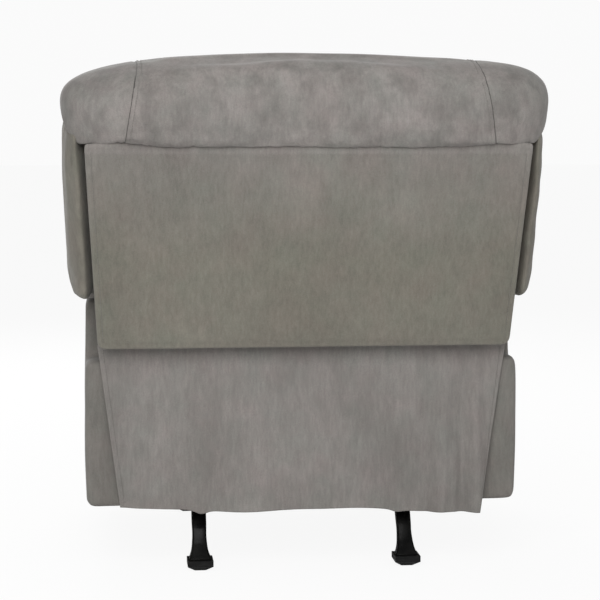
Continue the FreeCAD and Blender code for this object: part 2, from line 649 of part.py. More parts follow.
def make_handle():
    """The torque tube with its two drive cranks, and the lever on the right arm."""
    outer = "(arm_inner + arm_width)"
    hub_length = "(lever_standoff + lever_thickness)"
    tip = f"({outer} + bezel_thickness + soft_clearance + {hub_length})"
    tube = round_x("shaft_radius", f"{tip} + {LAYER_ONE} + link_thickness", f"-{tip}", *SHAFT)
    crank = link([], [], "drive_offset", LAYER_ONE, *SHAFT, REST)
    drilled = cut(crank, round_x(HOLE, "link_thickness", LAYER_ONE, *DRIVE))
    node("torque_tube", fuse(tube, drilled, mirror(drilled)))

    start = f"-{tip}"
    hub = round_x("hub_radius", hub_length, "0")
    bar = box("lever_thickness", "lever_width", "lever_length - lever_width / 2", "0", "-lever_width / 2", "0")
    end = round_x("lever_width / 2", "lever_thickness", "0", "0", "lever_length - lever_width / 2")
    lever = cut(fuse(hub, bar, end), round_x("shaft_radius", hub_length, "0"))
    place(lever, start, *SHAFT, AXIS_X, "90 + lever_drop")
    node("lever_handle", lever)

    bezel = round_x("bezel_radius", "bezel_thickness", f"-{outer} - bezel_thickness - soft_clearance / 2",
                    *SHAFT)
    bore = round_x("shaft_radius + layer_gap", "bezel_thickness",
                   f"-{outer} - bezel_thickness - soft_clearance / 2", *SHAFT)
    node("lever_bezel", cut(bezel, bore))

    across = f"{P2[0]} - {SHAFT[0]}"
    rise = f"{P2[1]} - {SHAFT[1]}"
    length = f"sqrt(({across}) ^ 2 + ({rise}) ^ 2)"
    slope = f"atan(({rise}) / -({across})) / 1deg"
    reach = "layer_gap + link_thickness"
    pair_group("drive_links", link([], ["0", length], length, LAYER_TWO, *DRIVE, slope, reach))


def make_footrest():
    """Two parallel links a side, the coupler they carry, and the padded board that turns on it."""
    reach = "layer_gap + link_thickness"
    pair_group("footrest_rear_links", link(["0", "link_length"], [], "link_length", LAYER_ONE, *P1, REST))
    front = "link_length + crank_length"
    pair_group("footrest_front_links", link(["0", "drive_offset", "link_length", front], [], front,
                                            LAYER_ONE, *P2, REST))
    pair_group("footrest_couplers", link([], ["0", "coupler_spacing", "coupler_length"], "coupler_length",
                                         LAYER_TWO, *Q1, "coupler_angle", reach))
    rod = "coupler_length - coupler_spacing"
    pair_group("footrest_control_rods", link([], ["0", rod], rod, LAYER_TWO, *CRANK, "coupler_angle", reach))

    face = "(-footrest_board_back - board_thin)"
    corners = [(face, f"{TOE_CRANK[1]} - link_width"), (face, f"{TOE[1]} + 3 * link_width"),
               ("-footrest_board_back", f"{TOE[1]} + 3 * link_width"),
               (f"{TOE[0]} + link_width / 2", f"{TOE[1]} + link_width / 2"),
               (f"{TOE_CRANK[0]} + link_width / 2", TOE_CRANK[1]),
               (f"{TOE_CRANK[0]} + link_width / 4", f"{TOE_CRANK[1]} - link_width / 2")]
    holes = [(*TOE, HOLE), (*TOE_CRANK, HOLE)]
    pair_group("footrest_brackets", plate(corners, holes, "link_thickness", LAYER_ONE))

    half = f"({LAYER_ONE} - soft_clearance)"
    node("footrest_board", box(f"2 * {half}", "board_thin", "footrest_high - footrest_low - link_width",
                               f"-{half}", face, "footrest_low + link_width / 2"))


# Back

def lean_in(item, x="0"):
    """Put a piece that is drawn in the back's own frame at the leaning hinge."""
    return place(item, x, *HINGE, AXIS_X, "-lean")


def back_box(length, x, out, depth, low, high):
    """Make a block in the back's own frame."""
    return lean_in(group(box(length, depth, f"{high} - ({low})", x, out, low)))


def make_back_frame():
    """Stiles and rails on two steel brackets, with webbing across the front."""
    outside = f"({LAYER_ONE})"
    pair("back_stile", back_box("stile_width", f"{outside} - stile_width", "frame_out", "frame_depth",
                                "frame_low", "frame_high - stile_width"))
    node("back_top_rail", back_box("2 * wing_inner - 2 * soft_clearance", "soft_clearance - wing_inner",
                                   "frame_out", "frame_depth", "frame_high - stile_width", "frame_high"))
    node("back_bottom_rail", back_box(f"2 * ({outside} - stile_width)", f"stile_width - {outside}",
                                      "frame_out", "frame_depth", "bottom_rail_up",
                                      "bottom_rail_up + stile_width"))
    margin = "plate_margin"
    corners = [(f"-{margin}", f"-{margin}"), (margin, f"-{margin}"), (margin, "frame_low + board / 2"),
               ("frame_out + frame_depth / 2", "frame_low + 2 * board"),
               ("frame_out + frame_depth / 2", "frame_low + 7 * board"),
               ("frame_out", "frame_low + 7 * board"), ("upper_back + layer_gap", "lumbar_high"),
               (f"-{margin}", "frame_low")]
    bracket = lean_in(plate(corners, [("0", "0", HOLE)], "link_thickness", "0"), LAYER_ONE)
    pair_group("back_brackets", bracket)

    straps = []
    for place_across in (-1.5, -0.5, 0.5, 1.5):
        x = f"{place_across} * webbing_spacing - webbing_width / 2"
        straps.append(box("webbing_width", "webbing_thickness", "frame_high - bottom_rail_up", x,
                          "frame_out - webbing_thickness", "bottom_rail_up"))
    node("back_webbing", lean_in(group(*straps)))


# Upholstery

def soft_ring(at, across, up, half, low, high, corner, side=0.0, crown=0.0):
    """Draw one closed cross-section with round corners, swelling sides and a crowned top."""
    def spot(a, b):
        return at + across * a + up * b

    def edge(first, middle, last, swell):
        if swell == 0:
            return Part.LineSegment(first, last).toShape()
        return Part.Arc(first, middle, last).toShape()

    near = corner * (1 - math.sqrt(0.5))
    centre = (low + high) / 2
    return Part.Wire([
        edge(spot(corner - half, low), None, spot(half - corner, low), 0),
        edge(spot(half - corner, low), spot(half - near, low + near), spot(half, low + corner), corner),
        edge(spot(half, low + corner), spot(half + side, centre), spot(half, high - corner), side),
        edge(spot(half, high - corner), spot(half - near, high - near), spot(half - corner, high), corner),
        edge(spot(half - corner, high), spot(0, high + crown), spot(corner - half, high), crown),
        edge(spot(corner - half, high), spot(near - half, high - near), spot(-half, high - corner), corner),
        edge(spot(-half, high - corner), spot(-half - side, centre), spot(-half, low + corner), side),
        edge(spot(-half, low + corner), spot(near - half, low + near), spot(corner - half, low), corner)])


def soft_form(along, across, up, rings, centre=FreeCAD.Vector()):
    """Loft a soft solid through rings of station, half, low, high, corner, side and crown."""
    wires = [soft_ring(centre + along * ring[0], across, up, *ring[1:]) for ring in rings]
    return Part.makeLoft(wires, True, True)


def rounded_end(pull, draw):
    """List how far in from the end, and how much drawn in, the stations of a round end are."""
    turns = [math.radians(degrees) for degrees in (90, 60, 30, 0)]
    return [(pull * (1 - math.sin(turn)), draw * (1 - math.cos(turn))) for turn in turns]


def cushioned(length_low, length_high, half, low, high, corner, side, crown, draw):
    """List the rings of a cushion whose two ends are drawn in and rounded."""
    def ring(station, inward, share):
        return (station, half - inward, low, high - inward, corner, side, crown * share)

    stations = rounded_end(2 * draw, draw)
    rings = [ring(length_low + step, inward, 0.7) for step, inward in stations]
    rings.append(ring((length_low + length_high) / 2, 0, 1))
    return rings + [ring(length_high - step, inward, 0.7) for step, inward in reversed(stations)]


def leaning():
    """Return the place of a solid that is drawn in the back's own frame."""
    hinge = FreeCAD.Vector(0, SIZE["hinge_rear"], SIZE["hinge_height"])
    return FreeCAD.Placement(hinge, FreeCAD.Rotation(AXIS_X, -SIZE["lean"]))


def mirrored(shape):
    """Return the mirror image of a solid across the middle plane."""
    return shape.mirror(FreeCAD.Vector(), AXIS_X)


def soft_pair(label, left, at=FreeCAD.Placement()):
    """Name a left soft solid and its mirror image."""
    shape_node(f"{label}_left", left, at)
    shape_node(f"{label}_right", mirrored(left), at)


def make_seat_upholstery():
    """The seat's foam deck, its loose-crowned cushion and the footrest pad."""
    clear = SIZE["soft_clearance"]
    deck_low = SIZE["seat_box_high"] + SIZE["zigzag_wire"] + clear
    half = SIZE["seat_box_half"] - clear
    length = SIZE["seat_box_front"] + SIZE["seat_box_rear"]
    corner = FreeCAD.Vector(-half, -SIZE["seat_box_front"], deck_low)
    shape_node("seat_deck", Part.makeBox(2 * half, length, SIZE["cushion_low"] - clear - deck_low, corner))

    swell = SIZE["cushion_swell"]
    rings = cushioned(-SIZE["cushion_front"], SIZE["cushion_rear"], SIZE["cushion_half"] - swell,
                      SIZE["cushion_low"], SIZE["cushion_high"], SIZE["cushion_corner"], swell,
                      SIZE["cushion_crown"], SIZE["cushion_draw"])
    shape_node("seat_cushion", soft_form(AXIS_Y, AXIS_X, AXIS_Z, rings))

    back = SIZE["footrest_board_back"] + SIZE["board_thin"] + clear
    draw = SIZE["footrest_draw"]
    rings = cushioned(SIZE["footrest_low"], SIZE["footrest_high"], SIZE["footrest_half"], back,
                      back + SIZE["footrest_padding"], draw, 0, SIZE["footrest_crown"], draw)
    shape_node("footrest_pad", soft_form(AXIS_Z, AXIS_X, AXIS_Y * -1, rings))


def make_arms(bolts):
    """Each arm is a board in a padded cover, with a crowned pad along its top."""
    board_x = "arm_inner + arm_padding"
    front = "arm_end_padding - arm_front"
    shoulder = "arm_shoulder - arm_end_padding"
    rear = "arm_rear - arm_heel_padding"
    step = "arm_step - arm_end_padding"
    corners = [(front, "arm_low"), (rear, "arm_low"), (rear, step), (shoulder, step),
               (shoulder, "arm_high"), (front, "arm_high")]
    shaft_hole = (*SHAFT, "shaft_radius + layer_gap")
    board = plate(corners, [shaft_hole], "board", board_x)
    pair("arm_frame", board)
    DOC.recompute()

    half = SIZE["arm_width"] / 2 - SIZE["arm_bulge"]
    centre = AXIS_X * (SIZE["arm_inner"] + SIZE["arm_width"] / 2)
    low = SIZE["arm_low"]
    high = SIZE["arm_high"]
    swell = SIZE["arm_bulge"]
    corner = SIZE["arm_corner"]
    front_end = [(step - SIZE["arm_front"], draw)
                 for step, draw in rounded_end(SIZE["arm_front_round"], SIZE["arm_front_draw"])]
    rear_end = [(SIZE["arm_shoulder"] - step, draw)
                for step, draw in reversed(rounded_end(SIZE["arm_rear_round"], SIZE["arm_rear_draw"]))]
    rings = [(y, half - draw, low, high, corner, swell, 0) for y, draw in front_end + rear_end]
    trunk = soft_form(AXIS_Y, AXIS_X, AXIS_Z, rings, centre)
    root = (SIZE["arm_shoulder"] - SIZE["arm_end_padding"], 0)
    heel_end = [(SIZE["arm_rear"] - step, draw)
                for step, draw in reversed(rounded_end(SIZE["heel_round"], SIZE["heel_draw"]))]
    rings = [(y, half - draw, low, SIZE["arm_step"] - draw, corner, swell, 0) for y, draw in [root, *heel_end]]
    cover = trunk.fuse(soft_form(AXIS_Y, AXIS_X, AXIS_Z, rings, centre))
    cover = cover.cut(board.Shape)
    for bolt in bolts:
        at = bolt.Shape.BoundBox.Center
        length = bolt.Height.Value
        start = FreeCAD.Vector(at.x - length / 2, at.y, at.z)
        bore = SIZE["arm_bolt_radius"] + SIZE["soft_clearance"]
        cover = cover.cut(Part.makeCylinder(bore, length, start, AXIS_X))
    clear = SIZE["soft_clearance"]
    reach = SIZE["arm_inner"] + SIZE["arm_padding"]
    depth = SIZE["rear_rail_depth"] + 2 * clear
    height = SIZE["rear_rail_high"] - SIZE["rear_rail_low"] + 2 * clear
    lowest = FreeCAD.Vector(0, SIZE["rear_rail_back"] + clear - depth, SIZE["rear_rail_low"] - clear)
    cover = cover.cut(Part.makeBox(reach, depth, height, lowest))
    shape_node("arm_cover_left", cover)
    start = FreeCAD.Vector(SIZE["seat_box_half"], -SIZE["shaft_forward"], SIZE["shaft_height"])
    length = SIZE["arm_width"] + 2 * SIZE["arm_gap"]
    passage = Part.makeCylinder(SIZE["shaft_radius"] + SIZE["layer_gap"], length, start, AXIS_X)
    shape_node("arm_cover_right", mirrored(cover.cut(passage)))

    over = SIZE["pad_overhang"]
    rings = cushioned(-SIZE["arm_front"] - SIZE["pad_nose"], SIZE["arm_shoulder"] + over,
                      SIZE["arm_width"] / 2 + over, high + clear, SIZE["pad_high"], SIZE["pad_corner"], over,
                      SIZE["pad_crown"], SIZE["pad_draw"])
    soft_pair("arm_pad", soft_form(AXIS_Y, AXIS_X, AXIS_Z, rings, centre))


def make_flap():
    """The loose cloth behind the chair, gathered into folds that deepen towards the hem."""
    folds = (-1.0, -0.86, -0.72, -0.58, -0.22, 0.24, 0.66, 0.86, 1.0)
    thickness = SIZE["flap_thickness"]
    back = SIZE["rear_rail_back"] + SIZE["soft_clearance"]
    levels = ((SIZE["flap_high"], 0.0, 0.05), (SIZE["rear_rail_low"], 0.0, 0.05),
              ((SIZE["rear_rail_low"] + SIZE["flap_low"]) / 2, 0.6, 0.6), (SIZE["flap_low"], 1.0, 1.0))
    drop = SIZE["flap_high"] - SIZE["flap_low"]
    wires = []
    for height, drift, depth in levels:
        share = (SIZE["flap_high"] - height) / drop
        half = SIZE["flap_half_high"] + (SIZE["flap_half_low"] - SIZE["flap_half_high"]) * share
        y = back + drift * (SIZE["flap_drift"] + SIZE["flap_fold"])
        edges = []
        for offset, order in ((0, 1), (thickness, -1)):
            for index in range(len(folds) - 1)[::order]:
                ends = (index, index + 1)[::order]
                first, last = [FreeCAD.Vector(folds[end] * half, y + offset, height) for end in ends]
                bow = SIZE["flap_fold"] * depth * (1 if index % 2 else -1)
                middle = (first + last) * 0.5 + AXIS_Y * bow
                edges.append(Part.Arc(first, middle, last).toShape())
            turn = FreeCAD.Vector(last.x, y + thickness - offset, height)
            edges.append(Part.LineSegment(last, turn).toShape())
        wires.append(Part.Wire(edges))
    shape_node("rear_flap", Part.makeLoft(wires, True, True))


def make_back_upholstery():
    """The outside panel, the two front cushions, the wings and the roll along the top."""
    clear = SIZE["soft_clearance"]
    seam = SIZE["seam_up"]
    middle = (SIZE["panel_low"] + seam) / 2
    half_middle = (SIZE["panel_half_low"] + SIZE["panel_half_high"]) / 2
    low = SIZE["frame_out"] + SIZE["frame_depth"] + clear
    high = low + SIZE["panel_thickness"]
    swell = SIZE["panel_crown"]
    corner = SIZE["panel_corner"]
    rings = [(SIZE["panel_low"], SIZE["panel_half_low"], low, high, corner, 0, swell / 2),
             (middle, half_middle, low, high, corner, 0, swell),
             (seam - clear, SIZE["panel_half_high"], low, high, corner, 0, swell / 2)]
    shape_node("outside_back_panel", soft_form(AXIS_Z, AXIS_X, AXIS_Y, rings), leaning())

    rings = cushioned(SIZE["lumbar_low"], SIZE["lumbar_high"], SIZE["cushion_half"], SIZE["lumbar_back"],
                      SIZE["lumbar_front"], SIZE["cushion_corner"], 0, SIZE["lumbar_crown"],
                      SIZE["lumbar_draw"])
    shape_node("lumbar_cushion", soft_form(AXIS_Z, AXIS_X, AXIS_Y * -1, rings), leaning())

    crown = SIZE["upper_crown"]
    rings = cushioned(SIZE["lumbar_high"] + clear, seam - clear, SIZE["wing_inner"] - clear,
                      -SIZE["upper_back"], SIZE["upper_front"], SIZE["upper_corner"], 0, crown, crown)
    shape_node("upper_back_cushion", soft_form(AXIS_Z, AXIS_X, AXIS_Y * -1, rings), leaning())

    half = SIZE["wing_half"]
    front = -SIZE["wing_front"]
    rear = SIZE["wing_rear"]
    low = SIZE["wing_low"]
    corner = SIZE["wing_corner"]
    rings = [(low + step, half - draw, front + 2 * draw, rear - 1.4 * draw, corner, 0, 0)
             for step, draw in rounded_end(SIZE["wing_round"], SIZE["wing_draw"])]
    rings.append((seam - clear, half, front, rear, corner, 0, 0))
    centre = AXIS_X * (SIZE["wing_inner"] + half)
    soft_pair("wing", soft_form(AXIS_Z, AXIS_X, AXIS_Y, rings, centre), leaning())


def make_roll():
    """The headrest roll: a centre panel between two rounded side caps."""
    clear = SIZE["soft_clearance"]
    inner = SIZE["roll_centre_half"]
    reach = SIZE["roll_half"] - inner
    half = (SIZE["roll_front"] + SIZE["roll_rear"]) / 2
    centre = AXIS_Y * ((SIZE["roll_rear"] - SIZE["roll_front"]) / 2)
    low = SIZE["seam_up"]
    high = SIZE["roll_high"]
    crown = SIZE["roll_crown"]
    corner = SIZE["roll_corner"]
    swell = SIZE["roll_swell"]
    rings = [(-inner, half, low, high, corner, swell, crown * 0.8), (0, half, low, high, corner, swell, crown),
             (inner, half, low, high, corner, swell, crown * 0.8)]
    shape_node("headrest_roll", soft_form(AXIS_X, AXIS_Y, AXIS_Z, rings, centre), leaning())

    rings = [(inner + clear, half, low, high, corner, swell, crown * 0.8)]
    for share, draw, foot, drop, fall in ((0.53, 0.02, 0.0, 0.08, 0.97), (0.8, 0.11, 0.02, 0.17, 0.87),
                                          (0.93, 0.23, 0.06, 0.29, 0.7), (1.0, 0.39, 0.15, 0.46, 0.47)):
        rings.append((inner + reach * share, half * (1 - draw), low + SIZE["roll_height"] * foot,
                      high - SIZE["roll_height"] * drop, corner * fall, swell * fall, crown * fall * 0.8))
    soft_pair("headrest_side", soft_form(AXIS_X, AXIS_Y, AXIS_Z, rings, centre), leaning())


def check_and_write():
    """Stop on any failed object or bad solid, then write one file for each sub-part."""
    DOC.recompute()
    failed = [item.Label for item in DOC.Objects if "Invalid" in item.State or "Error" in item.State]
    bad = [item.Label for item in NODES if item.Shape.isNull() or not item.Shape.isValid()]
    if failed or bad:
        raise RuntimeError(f"failed objects {failed}, bad solids {bad}")
    os.makedirs("parts", exist_ok=True)
    for item in NODES:
        item.Shape.exportStep(os.path.join("parts", f"{item.Label}.step"))
    print(f"{len(NODES)} sub-parts, {sum(len(item.Shape.Solids) for item in NODES)} solids")


def main():
    make_base()
    make_rocker_springs()
    bolts = make_chassis()
    make_seat_springs()
    make_handle()
    make_footrest()
    make_back_frame()
    DOC.recompute()
    make_seat_upholstery()
    make_arms(bolts)
    make_flap()
    make_back_upholstery()
    make_roll()
    check_and_write()


main()
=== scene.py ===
import json
import math

import bmesh
import bpy
import numpy as np
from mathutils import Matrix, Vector, noise
from mathutils.bvhtree import BVHTree


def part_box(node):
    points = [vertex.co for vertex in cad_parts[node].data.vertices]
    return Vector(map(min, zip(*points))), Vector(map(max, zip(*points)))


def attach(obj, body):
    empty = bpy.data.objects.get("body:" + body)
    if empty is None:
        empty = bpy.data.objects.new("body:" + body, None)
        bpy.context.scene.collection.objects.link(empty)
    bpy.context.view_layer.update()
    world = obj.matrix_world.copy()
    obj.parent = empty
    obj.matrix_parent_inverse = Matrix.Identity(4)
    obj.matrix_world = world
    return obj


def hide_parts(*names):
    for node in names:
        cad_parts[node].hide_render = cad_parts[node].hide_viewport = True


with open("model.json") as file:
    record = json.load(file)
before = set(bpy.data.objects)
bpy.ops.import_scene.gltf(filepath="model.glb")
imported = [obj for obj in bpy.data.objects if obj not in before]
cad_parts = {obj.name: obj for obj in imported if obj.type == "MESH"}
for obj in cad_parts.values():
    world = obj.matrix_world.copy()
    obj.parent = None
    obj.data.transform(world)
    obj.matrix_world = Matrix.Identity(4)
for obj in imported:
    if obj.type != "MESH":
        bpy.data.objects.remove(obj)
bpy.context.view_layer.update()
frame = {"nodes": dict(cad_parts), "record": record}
scene = bpy.context.scene
scene.view_settings.view_transform = "Standard"

# Sizes are in metres. The back leans on its hinge: out is behind the hinge, up is along the back.
HINGE = np.array([0.0, 0.165, 0.400])
LEAN = math.radians(14.2)
OUT = np.array([0.0, math.cos(LEAN), -math.sin(LEAN)])
UP = np.array([0.0, math.sin(LEAN), math.cos(LEAN)])
ACROSS = np.array([1.0, 0.0, 0.0])
FORWARD = (0, -1, 0)
BACKWARD = (0, 1, 0)
DOWN = (0, 0, -1)
SIDES = (-1, 1)


def on_back(across, out, up):
    """Points of the leaning back in the row frame."""
    across, out, up = np.broadcast_arrays(across, out, up)
    return HINGE + across[..., None] * ACROSS + out[..., None] * OUT + up[..., None] * UP


def in_back(points):
    """Across, out and up of points in the row frame."""
    moved = points - HINGE
    return moved @ ACROSS, moved @ OUT, moved @ UP


def line(x, y, z):
    """Points of a line in the row frame, from numbers and runs of numbers."""
    return np.stack(np.broadcast_arrays(x, y, z), 1)


def ramp(value, low, high):
    """Rise smoothly from 0 at low to 1 at high."""
    t = np.clip((value - low) / (high - low), 0, 1)
    return t * t * (3 - 2 * t)


def ridge(value, width):
    """A smooth bump at 0 that fades out over a width."""
    return np.exp(-(value / width) ** 2)


def grain(points, scale, seed):
    """Smooth noise between about -1 and 1 at points in metres."""
    shift = Vector((seed * 3.7, seed * 1.9, seed * 5.3))
    return np.array([noise.noise(Vector(p) * scale + shift) for p in points])


def grain_by(seed, *axes):
    """Smooth noise over three axes that the caller has scaled."""
    return grain(line(*axes), 1.0, seed)


# Meshes

COVER_CELL = 0.0085


def make(name, points, faces):
    """Link a new mesh object with smooth faces."""
    mesh = bpy.data.meshes.new(name)
    mesh.from_pydata([tuple(p) for p in points], [], [tuple(f) for f in faces])
    mesh.validate()
    mesh.polygons.foreach_set("use_smooth", [True] * len(mesh.polygons))
    piece = bpy.data.objects.new(name, mesh)
    scene.collection.objects.link(piece)
    return piece


def read_out(mesh, what):
    """One vector of each vertex, as rows."""
    found = np.empty(len(mesh.vertices) * 3)
    mesh.vertices.foreach_get(what, found)
    return found.reshape(-1, 3)


def points_of(piece):
    """The points of a piece."""
    return read_out(piece.data, "co")


def put(piece, points):
    """Move a piece's points."""
    piece.data.vertices.foreach_set("co", points.astype(np.float32).ravel())
    piece.data.update()


def dent(piece, depth):
    """Move each point along its normal by a depth in metres."""
    put(piece, points_of(piece) + read_out(piece.data, "normal") * depth[:, None])


def baked(piece):
    """Apply a piece's modifiers."""
    bpy.context.view_layer.update()
    graph = bpy.context.evaluated_depsgraph_get()
    mesh = bpy.data.meshes.new_from_object(piece.evaluated_get(graph))
    piece.modifiers.clear()
    old = piece.data
    piece.data = mesh
    bpy.data.meshes.remove(old)


def subdivided(piece):
    """Smooth a piece with one level of subdivision."""
    change = piece.modifiers.new("Smooth", "SUBSURF")
    change.levels = 1
    change.render_levels = 1
    baked(piece)


def box_grid(half, cell):
    """A closed box of even quads about the origin, as points and faces."""
    counts = [max(2, int(round(2 * h / cell))) for h in half]
    made = bmesh.new()
    seen = {}
    for axis in range(3):
        first, second = [a for a in range(3) if a != axis]
        for side in (0, counts[axis]):
            for i in range(counts[first]):
                for j in range(counts[second]):
                    corners = []
                    for di, dj in ((0, 0), (1, 0), (1, 1), (0, 1)):
                        key = [0, 0, 0]
                        key[axis] = side
                        key[first] = i + di
                        key[second] = j + dj
                        key = tuple(key)
                        if key not in seen:
                            place = [(2 * k / n - 1) * h for k, n, h in zip(key, counts, half)]
                            seen[key] = made.verts.new(place)
                        corners.append(seen[key])
                    flip = (side == 0) != (axis == 1)
                    made.faces.new(corners[::-1] if flip else corners)
    made.verts.index_update()
    points = np.array([v.co for v in made.verts])
    faces = [[v.index for v in f.verts] for f in made.faces]
    made.free()
    return points, faces


def rounded(points, half, low, high):
    """Round a box's edges. low and high are the radii at the negative and positive end of each axis."""
    half = np.array(half)
    low = np.array(low)
    high = np.array(high)
    radius = np.where(points < 0, low, high)
    core = np.clip(points, -(half - low), half - high)
    off = (points - core) / radius
    size = np.linalg.norm(off, axis=1)
    size[size < 1e-9] = 1
    return core + radius * off / size[:, None]


def rounded_box(half, cell, low, high):
    """Points and faces of a box with round edges about the origin."""
    points, faces = box_grid(half, cell)
    return rounded(points, half, low, high), faces


def cushion(name, low, high, radius_low, radius_high, cell=COVER_CELL):
    """A rounded box between two corners, as a new piece."""
    low = np.array(low)
    high = np.array(high)
    points, faces = rounded_box(tuple((high - low) / 2), cell, radius_low, radius_high)
    return make(name, points + (low + high) / 2, faces)


def mirrored(faces, side):
    """Faces in the order that keeps them outward on a side of the chair."""
    return [f[::-1] for f in faces] if side < 0 else faces


def tube_faces(rings, around, base=0):
    """Faces between rings of points that follow each other."""
    faces = []
    for ring in range(rings - 1):
        for k in range(around):
            a = base + ring * around + k
            b = base + ring * around + (k + 1) % around
            faces.append((a, b, b + around, a + around))
    return faces


def closed_tube(rings, around, base=0):
    """Faces of a tube of rings with both ends closed."""
    last = base + (rings - 1) * around
    ends = [tuple(range(base + around - 1, base - 1, -1)), tuple(range(last, last + around))]
    return tube_faces(rings, around, base) + ends


# Filling: cloth pressure from inside

FILL_FRAMES = 12
FILL_SMOOTHING = 3
INWARD_UNDONE = 0.85


def inflate(piece, held, pressure, cap, slack):
    """Fill a piece with cloth pressure.

    held is a mask of points that a seam or the frame holds. cap is the largest move. slack is the share by
    which the cloth is cut too large. Most of a move inward is undone, and the moves are smoothed.
    """
    start = points_of(piece)
    group = piece.vertex_groups.new(name="held")
    group.add([int(i) for i in np.nonzero(held)[0]], 1.0, "REPLACE")
    change = piece.modifiers.new("Fill", "CLOTH")
    cloth = change.settings
    cloth.quality = 3
    cloth.mass = 0.3
    cloth.bending_stiffness = 0.5
    cloth.shrink_min = -slack
    cloth.use_pressure = True
    cloth.uniform_pressure_force = pressure
    cloth.effector_weights.gravity = 0
    cloth.vertex_group_mass = "held"
    change.point_cache.frame_start = 1
    change.point_cache.frame_end = FILL_FRAMES
    for step in range(1, FILL_FRAMES + 1):
        scene.frame_set(step)
    graph = bpy.context.evaluated_depsgraph_get()
    move = read_out(piece.evaluated_get(graph).data, "co") - start
    normals = read_out(piece.data, "normal")
    inward = np.minimum((move * normals).sum(1), 0)
    move -= INWARD_UNDONE * inward[:, None] * normals
    edges = np.array([e.vertices[:] for e in piece.data.edges])
    joined = np.bincount(edges.ravel(), minlength=len(start))[:, None]
    for _ in range(FILL_SMOOTHING):
        beside = np.zeros_like(move)
        np.add.at(beside, edges[:, 0], move[edges[:, 1]])
        np.add.at(beside, edges[:, 1], move[edges[:, 0]])
        move = np.where(held[:, None], move, 0.5 * move + 0.5 * beside / joined)
    size = np.linalg.norm(move, axis=1)
    move *= (np.minimum(size, cap) / np.maximum(size, 1e-9))[:, None]
    piece.modifiers.clear()
    piece.vertex_groups.clear()
    put(piece, start + move)
    scene.frame_set(1)


# Materials


def material(name, colour, roughness, **sockets):
    """A new node material and its shader. Each keyword is a shader socket with underscores for spaces."""
    made = bpy.data.materials.new(name)
    made.use_nodes = True
    shader = made.node_tree.nodes["Principled BSDF"]
    shader.inputs["Base Color"].default_value = (*colour, 1)
    shader.inputs["Roughness"].default_value = roughness
    for key, value in sockets.items():
        shader.inputs[key.replace("_", " ")].default_value = value
    return made, shader


def node(made, kind, **values):
    """Add a node. Keywords are its properties or its input sockets."""
    new = made.node_tree.nodes.new(kind)
    for key, value in values.items():
        if hasattr(new, key):
            setattr(new, key, value)
        else:
            new.inputs[key.replace("_", " ")].default_value = value
    return new


def wire(made, start, end):
    """Link an output to an input."""
    made.node_tree.links.new(start, end)


def object_place(made):
    """The object coordinates of a material."""
    return node(made, "ShaderNodeTexCoord").outputs["Object"]


def spread(made, source, low, high, from_low=0.3, from_high=0.7):
    """Map a noise to a range of plain values."""
    change = node(made, "ShaderNodeMapRange", From_Min=from_low, From_Max=from_high, To_Min=low, To_Max=high)
    wire(made, source, change.inputs["Value"])
    return change.outputs["Result"]


def tint(made, source, dark, light, from_low=0.3, from_high=0.7):
    """Map a noise to a run of colours."""
    change = node(made, "ShaderNodeValToRGB")
    first, last = change.color_ramp.elements
    first.position = from_low
    last.position = from_high
    first.color = (*dark, 1)
    last.color = (*light, 1)
    wire(made, source, change.inputs["Fac"])
    return change.outputs["Color"]


def noise_at(made, place, scale, detail, rough, stretch=None):
    """Noise in object space, stretched where a size is given for each axis."""
    if stretch:
        change = node(made, "ShaderNodeMapping", Scale=stretch)
        wire(made, place, change.inputs["Vector"])
        place = change.outputs["Vector"]
    new = node(made, "ShaderNodeTexNoise", Scale=scale, Detail=detail, Roughness=rough)
    wire(made, place, new.inputs["Vector"])
    return new.outputs["Fac"]


def blended(made, first, second, share, mode="MIX"):
    """Mix two colours. The share is a number or another output."""
    new = node(made, "ShaderNodeMix", data_type="RGBA", blend_type=mode)
    for output, socket in ((first, 6), (second, 7), (share, 0)):
        if hasattr(output, "is_linked"):
            wire(made, output, new.inputs[socket])
        else:
            new.inputs[socket].default_value = output
    return new.outputs[2]


def bumped(made, shader, layers):
    """Chain bumps of (height output, strength, distance) into a shader."""
    last = None
    for height, strength, distance in layers:
        new = node(made, "ShaderNodeBump", Strength=strength, Distance=distance)
        wire(made, height, new.inputs["Height"])
        if last:
            wire(made, last, new.inputs["Normal"])
        last = new.outputs["Normal"]
    wire(made, last, shader.inputs["Normal"])


# Painted shade: heights and share of the darker tone that a cloth turns to lower down. Then the paler band
# along its top.
SHADE_LOW, SHADE_HIGH, SHADE_SHARE = 0.64, 0.85, 0.72
BAND_LOW, BAND_HIGH, BAND_SHARE = 0.842, 0.846, 0.7
BAND_TONE = (0.245, 0.229, 0.215, 1)
WORN_GAIN = 1.4


def grey(level):
    """A colour without hue."""
    return (level,) * 3


